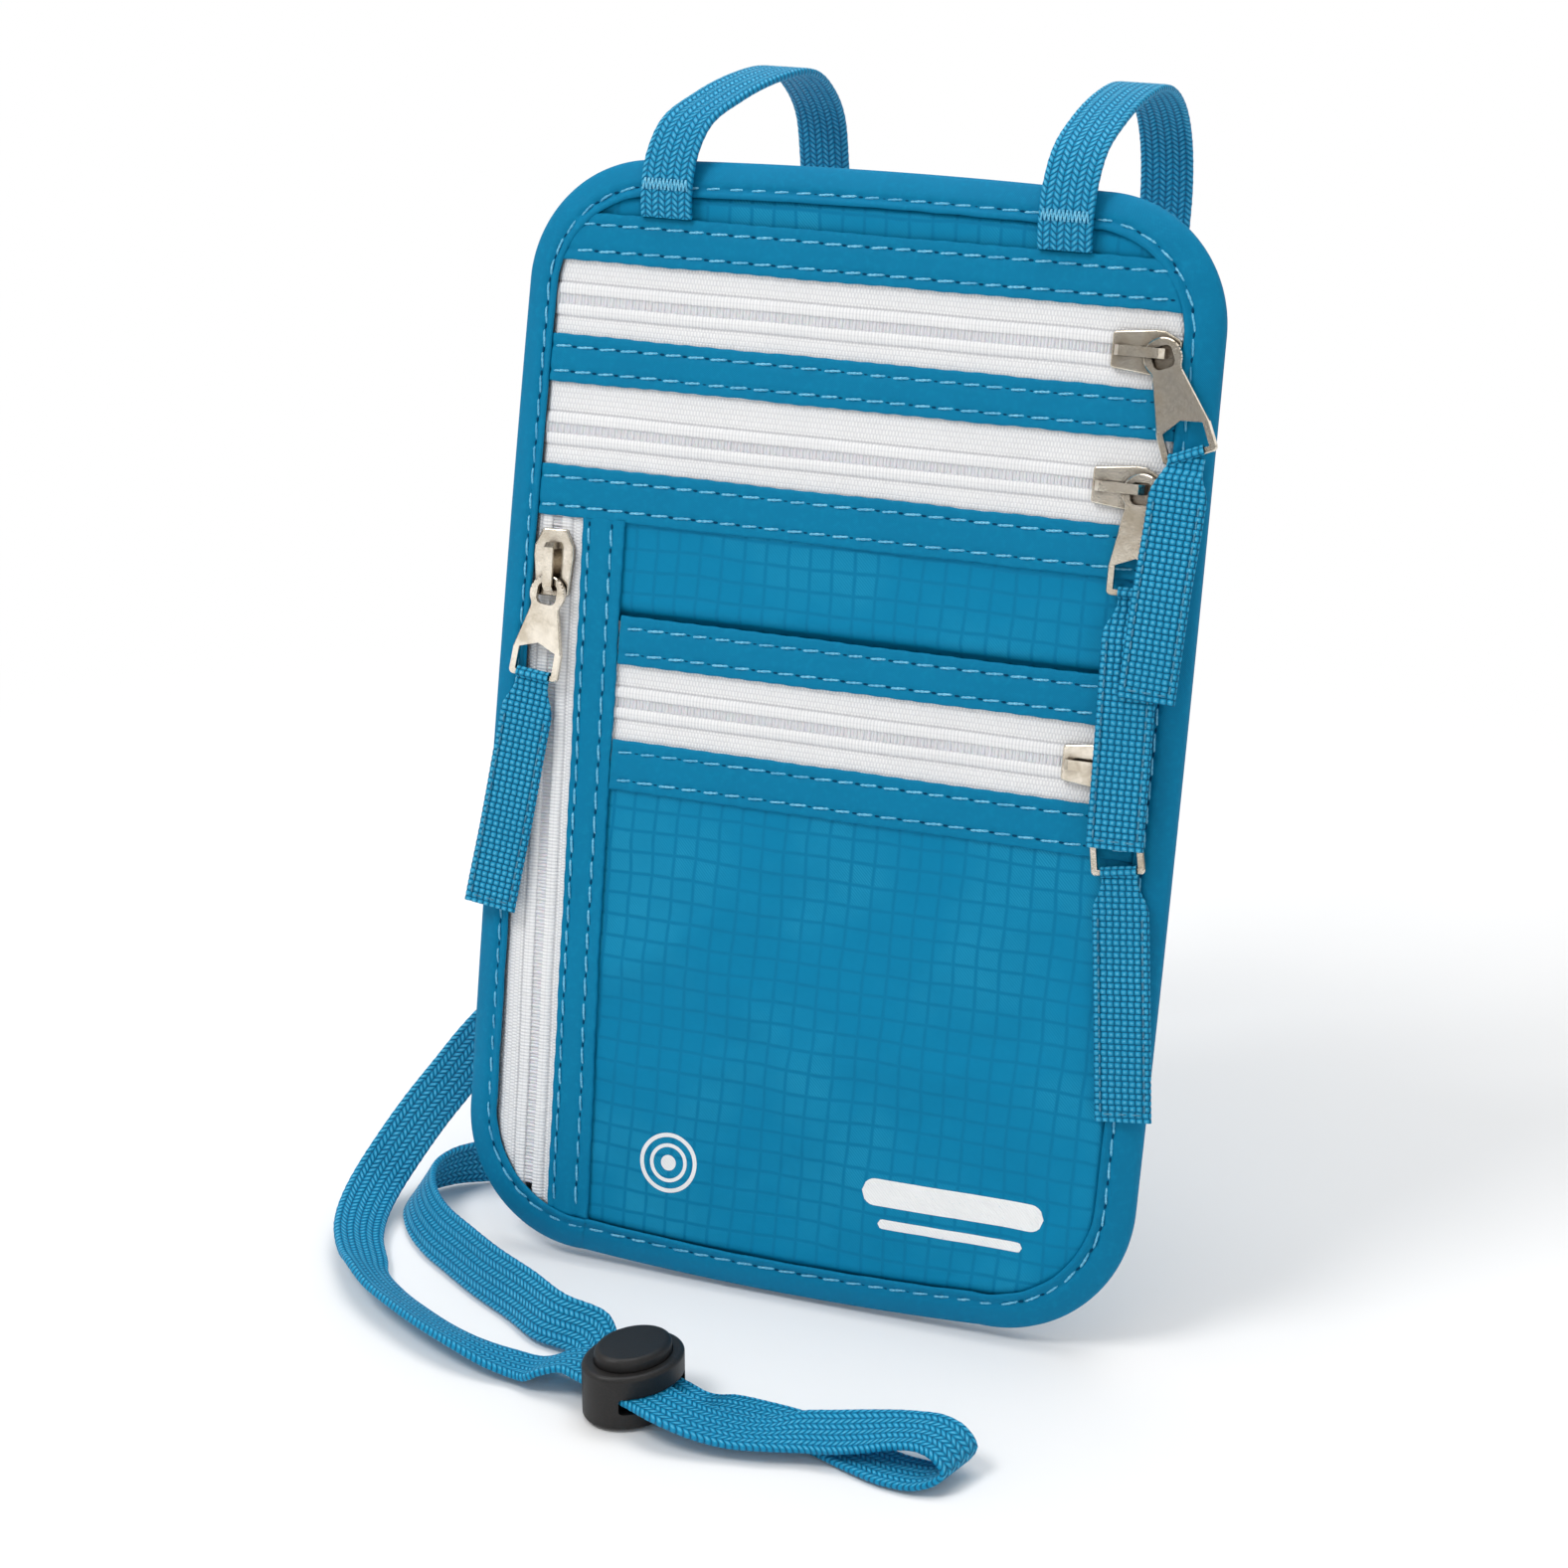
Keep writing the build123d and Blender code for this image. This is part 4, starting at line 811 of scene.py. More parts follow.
class Parts:
    """Grids of points gathered into one mesh."""

    def __init__(self):
        self.points, self.quads, self.uvs, self.count = [], [], [], 0

    def add(self, grid, uv=None, closed=False, reverse=False, face=None):
        points = grid.reshape(-1, 3)
        quads = grid_quads(*grid.shape[:2], close_cols=closed)
        if face is not None:
            reverse = (face_vectors(points, quads)[0] @ face).sum() < 0
        if reverse:
            quads = quads[:, ::-1]
        self.points.append(points)
        self.quads.append(quads + self.count)
        self.uvs.append(np.zeros((len(points), 2)) if uv is None else uv.reshape(-1, 2))
        self.count += len(points)

    def build(self, name, material, **options):
        return piece(name, np.concatenate(self.points), np.concatenate(self.quads), material,
                     uv=np.concatenate(self.uvs), **options)


def turn_outwards(tube, spine):
    """Turn a tube's faces away from its spine, given as one point in mm per vertex."""
    mesh = tube.data
    normals = np.zeros(len(mesh.polygons) * 3)
    mesh.polygons.foreach_get("normal", normals)
    centres = np.zeros_like(normals)
    mesh.polygons.foreach_get("center", centres)
    corners = np.zeros(len(mesh.polygons) * 4, np.int32)
    mesh.loops.foreach_get("vertex_index", corners)
    middles = spine.reshape(-1, 3)[corners.reshape(-1, 4)].mean(1) / 1000
    if ((centres.reshape(-1, 3) - middles) * normals.reshape(-1, 3)).sum() < 0:
        mesh.flip_normals()


def circle(count):
    return np.linspace(0, 2 * np.pi, count, endpoint=False)


def round_ends(t, power, least):
    """Radius factor of a strand over t = -1..1."""
    return np.sqrt(np.clip(1 - np.abs(t) ** power, least, 1))


def strand(x, y, z, side, radius, squash, sides):
    """A tube in the pouch plane along a centre line, with its sideways direction."""
    turn = circle(sides)[None, :]
    return on_pouch(x[:, None] + side[0] * np.cos(turn) * radius,
                    y[:, None] + side[1] * np.cos(turn) * radius,
                    z[:, None] + np.sin(turn) * radius * squash)


def sewn(x, y, z):
    """Points of the front cloth: z over its flat shape, tucked under the binding."""
    return on_pouch(x, y, z + relief(x, y) - tuck(x, y))


def patch(node, x, y, z, material, uv=None):
    """A sheet of the front that replaces a node."""
    x, y, z = np.broadcast_arrays(x, y, z)
    piece(node + "_cloth", sewn(x, y, z), grid_quads(*x.shape), material,
          uv=pair(x, y) if uv is None else uv, replaces=node, face=OUT)


# ------------------------------------------------------------------ panels
def fill_columns(xs, low, high, count):
    """Columns of points at xs, each spread from its low to its high end."""
    t = np.linspace(0, 1, count)[:, None]
    y = low[None, :] * (1 - t) + high[None, :] * t
    return np.broadcast_to(xs[None, :], y.shape), y


def columns(low, high, left, step_x, step_y):
    """A grid from left to the right side, clipped to the pouch edge under the binding."""
    xs = np.linspace(left, SHEET_X, max(2, int(round((SHEET_X - left) / step_x)) + 1))
    edge_low, edge_high = ends(xs)
    low, high = np.maximum(edge_low, low), np.minimum(edge_high, high)
    keep = high - low > 0.3
    xs, low, high = xs[keep], low[keep], high[keep]
    return fill_columns(xs, low, high, max(3, int(round((high - low).max() / step_y)) + 1))


def lower_cloth_z(x):
    """The lower cloth dips at its left edge."""
    return CLOTH_Z - 0.35 * smooth(-40.0 - x, 0, 3.0)


def front_panels():
    # the strip over the first zip dips behind the top band
    x, y = columns(191.0, 210, -SHEET_X, step_x=1.0, step_y=0.8)
    patch("front_panel_top", x, y, CLOTH_Z - 0.5 * smooth(198.6 - y, 0, 4.0), "ripstop")
    x, y = columns(0, 94.7, OVERLAY_LEFT, step_x=0.9, step_y=0.9)
    patch("front_panel_lower", x, y, lower_cloth_z(x), "ripstop")
    # the middle cloth goes on down behind the third zip and the lower cloth
    x, y = columns(6.2, 144.2, OVERLAY_LEFT, step_x=1.0, step_y=0.8)
    drop = smooth(125.0 - y, 0, 4.4)
    patch("front_panel_middle", x, y, CLOTH_Z * (1 - drop) + 0.12 * drop, "ripstop")


def back_panel():
    x, y = columns(0, 210, -SHEET_X, step_x=1.6, step_y=1.6)
    bulge = sample(BACK_SHEET, x, y) * 0.55 + 0.04 * value_noise(x, y, 6, 33)
    z = -2.75 - bulge * smooth(edge_distance(x, y), 6.4, 14) + tuck(x, y) * 0.9
    piece("back_panel_cloth", on_pouch(x, y, z), grid_quads(*x.shape), "ripstop",
          uv=pair(x, y), replaces="back_panel", face=-OUT)


def inner_sheet(node, level, inset):
    edge = ring(inset)
    xs = np.linspace(edge[:, 0].min() + 0.4, edge[:, 0].max() - 0.4, 48)
    x, y = fill_columns(xs, *ends(xs, edge), 72)
    z = level + 0.05 * value_noise(x, y, 16, 40) + 0.03 * value_noise(x, y, 6, 41)
    piece(node + "_cloth", on_pouch(x, y, z), grid_quads(*x.shape), "lining",
          uv=pair(x, y), replaces=node, face=OUT)


front_panels()
back_panel()
inner_sheet("rfid_lining_back", level=-1.93, inset=5.2)
inner_sheet("pocket_divider", level=-1.1, inset=3.4)
inner_sheet("rfid_lining_front", level=-0.43, inset=2.3)

# ------------------------------------------------------------------ seam bands
stitch_rows = []      # (xs, ys, function giving the height of the cloth)


def pucker(distance, seed):
    """Pull of the stitches along a row, 0..1."""
    phase = distance / STITCH_PITCH + 0.35 * wobble(distance, 22, 50 + seed, lane=seed)
    return 0.5 + 0.5 * np.cos(2 * np.pi * phase)


def row_dip(off_row, distance, seed):
    """How far a row of stitches presses a band in."""
    return np.exp(-(off_row / 0.55) ** 2) * (0.16 + 0.16 * pucker(distance, seed))


def band_stitch_height(x, y):
    return BAND_STITCH_Z + relief(x, y)


def band_profile(half):
    """Offsets and heights across a folded band, edge to edge, each as a column."""
    inset = np.array([0.02, 0, 0.05, 0.16, 0.30])
    drop = np.array([0.6, 0.36, 0.20, 0.08, 0.02])
    inner = np.arange(-half + 0.5, half - 0.49, 0.4)
    offsets = np.r_[-half + inset, inner, (half - inset)[::-1]]
    z = np.r_[BAND_Z - drop, np.full(len(inner), BAND_Z), (BAND_Z - drop)[::-1]]
    return offsets[:, None], z[:, None]


def edge_weight(offsets, half):
    """-1 and 1 at the band's edges, near 0 inside."""
    return np.sign(offsets) * (abs(offsets) / half) ** 4


def seam_band(number, start=None):
    low, high = BANDS[number]
    middle, half = (low + high) / 2, (high - low) / 2
    rows = (-half + 2.0, half - 2.2)
    offsets, z = band_profile(half)
    left, right = limits(middle + offsets)
    if start is not None:
        left = start
    x = left + (right - left) * np.linspace(0, 1, 300)
    ripple = 0.10 * pucker(x, number) + 0.10 * wobble(x, 9, 60 + number, lane=number)
    y = middle + offsets - edge_weight(offsets, half) * ripple
    dip = sum(row_dip(offsets - row, x, number + i) for i, row in enumerate(rows))
    puff = 0.10 * np.cos(np.clip(offsets / half, -1, 1) * math.pi / 2)
    puff = puff * (1 - 0.4 * pucker(x, number))
    patch(f"seam_band_{number}", x, y, z - dip + puff, "band")
    left, right = limits(middle)
    xs = np.linspace(left + 1.4 if start is None else start + 0.6, right - 1.4, 400)
    for i, row in enumerate(rows):
        ys = middle + row + 0.10 * wobble(xs, 12, 70 + 2 * number + i)
        stitch_rows.append((xs, ys, band_stitch_height))


def side_band_x(offset, y):
    """x of the side band, which slants and widens downwards."""
    left = np.interp(y, [0, 139.3], [-46.7, -50.6])
    right = np.interp(y, [0, 60, 139.3], [-37.8, -40.4, -42.0])
    return (left + right) / 2 + offset / SIDE_BAND_HALF * (right - left) / 2


def side_band():
    """The band that runs down over the left ends of the lower rows."""
    half = SIDE_BAND_HALF
    bottom = ends(-43.0)[0]
    ys = np.linspace(bottom - 0.6, 139.9, 330)
    offsets, z = band_profile(half)
    ripple = 0.10 * pucker(ys, 3) + 0.12 * wobble(ys, 9, 81)
    x = side_band_x(offsets, ys) - edge_weight(offsets, half) * ripple
    rows = (-half + 1.35, half - 2.6)
    for i, row in enumerate(rows):
        z = z - row_dip(offsets - row, ys, 6 + i)
    z = z + 0.22 * smooth(offsets, 1.5, 4.0)      # the right side stands a little proud
    patch("seam_band_side", x, ys, z, "band", uv=pair(ys, x))
    ys = np.linspace(bottom + 3.0, 138.6, 400)
    for i, row in enumerate(rows):
        xs = side_band_x(row, ys) + 0.10 * wobble(ys, 12, 90 + i)
        stitch_rows.append((xs, ys, band_stitch_height))


for number in BANDS:
    seam_band(number, BAND_LEFT.get(number))
side_band()

# ------------------------------------------------------------------ zips
# (offset from the zip's centre, height) over the rib that covers the coil
RIB_PROFILE = np.array([
    (0.80, 2.1), (0.82, 2.45), (0.92, 2.68), (1.1, 2.82), (1.4, 2.89), (1.8, 2.91),
    (2.25, 2.89), (2.6, 2.82), (2.85, 2.66), (3.0, 2.48), (3.12, 2.44), (3.3, 2.52),
])
TAPE_FLAT_FROM, TAPE_FLAT_Z = 3.6, 2.58


def tape_half(side, reach):
    """Offsets and heights of one half of the tape, from the coil outwards, as columns."""
    count = max(3, int((reach - TAPE_FLAT_FROM) / 1.2) + 1)
    offsets = side * np.r_[RIB_PROFILE[:, 0], np.linspace(TAPE_FLAT_FROM, reach, count)]
    z = np.r_[RIB_PROFILE[:, 1], np.full(count, TAPE_FLAT_Z)]
    return offsets[:, None], z[:, None]


def coil_loops(node, xs, ys, across):
    """The zip's coil: one rounded loop after another across the centre line."""
    t = np.linspace(-1, 1, 9)
    reach = t * 2.55
    radius = 0.36 * round_ends(t, 6, 0.03)[:, None]
    along = (across[1], -across[0])
    parts = Parts()
    for i, (x, y) in enumerate(zip(xs, ys)):
        side = 1 if i % 2 else -1
        lean = 0.04 * side * t
        z = COIL_Z + 0.05 * side * np.cos(np.pi * t / 2)
        parts.add(strand(x + reach * across[0] + lean * along[0],
                         y + reach * across[1] + lean * along[1],
                         z, along, radius, squash=1.1, sides=7), closed=True)
    parts.build(node + "_loops", "coil", replaces=node)


def zip_across(number):
    centre, low, high, start = ZIPS[number]
    parts = Parts()
    for side, reach in ((-1, centre - low), (1, high - centre)):
        offsets, z = tape_half(side, reach)
        left, right = limits(centre + offsets[:, 0])
        x = np.linspace(left if start is None else start, right, 200, axis=-1)
        y = centre + offsets + 0.10 * wobble(x, 14, 100 + number)
        parts.add(sewn(x, y, z), uv=pair(x, offsets), face=OUT)
    parts.build(f"zip_{number}_tape_knit", "tape", replaces=f"zip_{number}_tape", face=OUT)
    left, right = limits(centre)
    xs = np.arange(left + 1.2 if start is None else start + 1, right - 1.4, COIL_PITCH)
    coil_loops(f"zip_{number}_coil", xs, np.full(len(xs), centre), across=(0.0, 1.0))


def side_zip_x(y):
    return SIDE_ZIP_X + (SIDE_PULL_Y - y) * math.tan(SIDE_ZIP_TILT)


def side_zip():
    parts = Parts()
    for side, reach in ((-1, 9.6), (1, 7.6)):
        offsets, z = tape_half(side, reach)
        bottom = ends((side_zip_x(14.0) + offsets[:, 0]).clip(-60.2, 60))[0]
        y = np.linspace(bottom, SIDE_ZIP_TOP, 220, axis=-1)
        x = side_zip_x(y) + offsets + 0.10 * wobble(y, 14, 110)
        x = np.clip(x, limits(y)[0], OVERLAY_LEFT)
        parts.add(sewn(x, y, z), uv=pair(y, offsets), face=OUT)
    parts.build("side_zip_tape_knit", "tape", replaces="side_zip_tape", face=OUT)
    ys = np.arange(ends(side_zip_x(12.0))[0] + 2.5, SIDE_ZIP_TOP - 1, COIL_PITCH)
    coil_loops("side_zip_coil", side_zip_x(ys), ys, across=(1.0, 0.0))


for number in ZIPS:
    zip_across(number)
side_zip()

# ------------------------------------------------------------------ binding
# (inset, height) over the front half of the folded tape, from its inner edge to the rim
BINDING_PROFILE = [
    (6.55, 2.90), (6.66, 3.10), (6.70, 3.35), (6.62, 3.56), (6.42, 3.70), (6.1, 3.72),
    (5.8, 3.62), (5.5, 3.44), (5.2, 3.30), (5.0, 3.26), (4.8, 3.26), (4.5, 3.26), (4.1, 3.20),
    (3.5, 3.02), (2.8, 2.74), (2.1, 2.42), (1.5, 2.10), (1.0, 1.78), (0.6, 1.46), (0.3, 1.10),
    (0.1, 0.66), (0.02, 0.22),
]


def binding_pull(distance):
    """How far the binding's stitches press it in."""
    return 0.16 + 0.20 * pucker(distance, 9)


def binding_stitch_height(x, y):
    x, y = np.atleast_1d(x)[:, None], np.atleast_1d(y)[:, None]
    nearest = np.argmin((RIM[None, :, 0] - x) ** 2 + (RIM[None, :, 1] - y) ** 2, axis=1)
    return BINDING_SEAM_Z - binding_pull(RIM_RUN[nearest]) + 0.02


def binding():
    # the cloth gathers more in the corners, which are every second arc of the ring
    bend = np.concatenate([np.sin(np.pi * np.linspace(0, 1, count)) * (i % 2)
                           for i, count in enumerate(RING_COUNTS)])
    rim = ring(BINDING_PROFILE[-1][0])
    pull = binding_pull(RIM_RUN)
    rows = []
    for side, profile in ((1, BINDING_PROFILE), (-1, BINDING_PROFILE[::-1])):
        for inset, height in profile:
            t = inset / BINDING_W
            loose = np.clip(t, 0, 1) * np.clip(1.25 - t, 0, 1) * 3
            gather = wobble(RIM_RUN, 5.0, 120, lane=0 if side > 0 else 50)
            gather = gather * (0.07 + 0.16 * bend) * loose
            gather = gather + 0.10 * wobble(RIM_RUN, 17.0, 121, lane=9) * loose
            hold = np.exp(-((inset - BINDING_SEAM) / 0.6) ** 2) * pull
            points = ring(inset)
            if inset > 1:
                inward = points - rim
                inward = inward / (np.linalg.norm(inward, axis=1)[:, None] + 1e-9)
                lip = 0.10 * wobble(RIM_RUN, 4.0, 122, lane=3) * smooth(inset, 5.6, 6.6)
                points = points + inward * lip[:, None]
            z = (height + gather - hold) * side
            rows.append((*points.T, z, np.full(len(RIM), inset if side > 0 else 14 - inset)))
    x, y, z, across = np.array(rows).transpose(1, 0, 2)
    made = piece("binding_tape_cloth", on_pouch(x, y, z), grid_quads(*x.shape, close_cols=True),
                 "binding", uv=pair(RIM_RUN, across), replaces="binding")
    turn_outwards(made, on_pouch(x, y, 0))
    seam = ring(BINDING_SEAM)
    stitch_rows.append((*np.vstack([seam, seam[:1]]).T, binding_stitch_height))


binding()

# ------------------------------------------------------------------ stitches
# rings of a needle hole, a dark disc of painted shade: factor of its half axes, and height over the
# cloth
HOLE_RINGS = np.array([0.02, 0.5, 0.85, 1.0, 1.06])[:, None]
HOLE_Z = np.array([0.075, 0.07, 0.05, 0.0, -0.12])[:, None]
HOLE_HALF_LENGTH, HOLE_HALF_WIDTH = 0.48, 0.20
PLY_TWIST = 1.15


def sew(rows, face_name, side, seed):
    """Stitches of two twisted plies, and needle holes painted as dark discs of shade between; side
    is 1 front, -1 back.
    """
    rng = np.random.default_rng(seed)
    turn, hole_turn = circle(8)[None, :], circle(8)[None, :]
    t = np.linspace(-1, 1, 12)
    stitches, hole_shades = Parts(), Parts()
    for xs, ys, height in rows:
        run = np.r_[0, np.cumsum(np.hypot(np.diff(xs), np.diff(ys)))]
        count = int(run[-1] / STITCH_PITCH)
        step = run[-1] / max(count, 1)
        for i in range(count):
            centre = (i + 0.5) * step + rng.normal(0, 0.10)
            length = STITCH_LENGTH * (1 + rng.normal(0, 0.05))
            place = np.clip(centre + t * length / 2, 0, run[-1])
            x, y = np.interp(place, run, xs), np.interp(place, run, ys)
            step_x, step_y = x[-1] - x[0], y[-1] - y[0]
            norm = math.hypot(step_x, step_y) + 1e-9
            along_x, along_y = step_x / norm, step_y / norm
            slant = 0.13 * t * side
            x, y = x - along_y * slant, y + along_x * slant
            z = height(x, y) + STITCH_LIFT * (1 - np.abs(t) ** 3 * 1.5)
            radius = STITCH_RADIUS * round_ends(t, 5, 0.08) * (1 + rng.normal(0, 0.04))
            twist = 2 * np.pi * (place[:, None] - centre) / PLY_TWIST
            radius = radius[:, None] * (1 + 0.20 * np.cos(2 * turn - twist))
            stitches.add(strand(x, y, side * z, (-along_y, along_x), radius,
                                squash=side * 0.8, sides=8), closed=True)
            place = (i + 1) * step
            x, y = np.interp(place, run, xs), np.interp(place, run, ys)
            long = np.cos(hole_turn) * HOLE_RINGS * HOLE_HALF_LENGTH
            wide = np.sin(hole_turn) * HOLE_RINGS * HOLE_HALF_WIDTH
            hole_shades.add(on_pouch(x + along_x * long - along_y * wide,
                               y + along_y * long + along_x * wide,
                               side * (height(x, y) + HOLE_Z)), closed=True)
    stitches.build("seam_stitches_" + face_name, "thread")
    hole_shades.build("needle_holes_" + face_name, "hole_shade", face=side * OUT)


sew(stitch_rows, "front", side=1, seed=5)
sew(stitch_rows[-1:], "back", side=-1, seed=6)      # only the binding's row shows behind


# ------------------------------------------------------------------ neck strap
def hermite(values, knots, places):
    """Smooth curve through rows of values at uneven knots."""
    gap = np.diff(knots)[:, None]
    chord = np.diff(values, axis=0) / gap
    inner = (chord[:-1] * gap[1:] + chord[1:] * gap[:-1]) / (gap[:-1] + gap[1:])
    slope = np.concatenate([chord[:1], inner, chord[-1:]])
    i = np.clip(np.searchsorted(knots, places, side="right") - 1, 0, len(values) - 2)
    gap = gap[i]
    t = (places - knots[i])[:, None] / gap
    return ((2 * t**3 - 3 * t**2 + 1) * values[i] + (t**3 - 2 * t**2 + t) * gap * slope[i]
            + (-2 * t**3 + 3 * t**2) * values[i + 1] + (t**3 - t**2) * gap * slope[i + 1])


def tape_section(half, thick, flat_count, round_count):
    """Offsets across and through a flat tape with rounded edges, once round."""
    radius = thick / 2
    top = np.linspace(-(half - radius), half - radius, flat_count)
    turn = np.linspace(np.pi / 2, -np.pi / 2, round_count + 2)[1:-1]
    x = np.r_[top, half - radius + radius * np.cos(turn), top[::-1],
              -(half - radius) - radius * np.cos(turn[::-1])]
    z = np.r_[np.full(flat_count, radius), radius * np.sin(turn),
              np.full(flat_count, -radius), radius * np.sin(turn[::-1])]
    return x, z


def neck_strap():
    stations = np.array(STRAP_STATIONS, float)
    knots = running_length(stations[:, :3])
    curve = hermite(stations, knots, np.linspace(0, knots[-1], int(knots[-1] / 0.85)))
    centre, across = curve[:, :3], curve[:, 3:]
    across = across / np.linalg.norm(across, axis=1)[:, None]
    tangent = np.gradient(centre, axis=0)
    tangent = tangent - (tangent * across).sum(1)[:, None] * across
    tangent = tangent / np.linalg.norm(tangent, axis=1)[:, None]
    normal = np.cross(tangent, across)
    x, z = tape_section(STRAP_W / 2, STRAP_T - 0.08, flat_count=17, round_count=6)
    run = running_length(centre)
    # the edges are slightly saw-toothed, and the columns of yarns stand proud
    saw = 1 + 0.008 * np.sin(2 * np.pi * run / 2.1)
    column = 0.05 * np.abs(np.cos(np.pi * x / 1.25))
    points = (centre[:, None, :] + across[:, None, :] * (x[None, :] * saw[:, None])[..., None]
              + normal[:, None, :] * (z + np.sign(z) * column)[None, :, None])
    made = piece("neck_strap_braid", points, grid_quads(len(run), len(x), close_cols=True),
                 "braid", uv=pair(x, run[:, None]), replaces="neck_strap")
    turn_outwards(made, np.repeat(centre, len(x), axis=0))


def bartacks():
    """Close zigzag of thread over each strap end."""
    t = np.linspace(0, 1, 8)
    corners = np.linspace(-4.3, 4.3, 25)
    z = 5.78 + 0.16 * np.sin(np.pi * t) ** 0.5
    parts = Parts()
    for centre in (STRAP_STATIONS[0][0], STRAP_STATIONS[-1][0]):
        for i in range(len(corners) - 1):
            swing = 1.0 if i % 2 else -1.0
            start = np.array([centre + corners[i], 201.4 + swing])
            end = np.array([centre + corners[i + 1], 201.4 - swing])
            x, y = (start * (1 - t[:, None]) + end * t[:, None]).T
            along = (end - start) / np.linalg.norm(end - start)
            parts.add(strand(x, y, z, (-along[1], along[0]), 0.16, squash=0.14 / 0.16, sides=6),
                      closed=True)
    parts.build("strap_bartack_thread", "thread", replaces="strap_bartacks")


neck_strap()
bartacks()

# ------------------------------------------------------------------ pull ribbons
RIBBON_HALF, RIBBON_BAR_HALF = 5.2, 3.25      # half width, full and where it wraps the bar
ROW_INSET, END_INSET = 1.15, 1.6              # stitch rows from the sides and from the end
LOOP_OUTER, LOOP_INNER = 1.08, 0.78           # radii of the fold round the bar


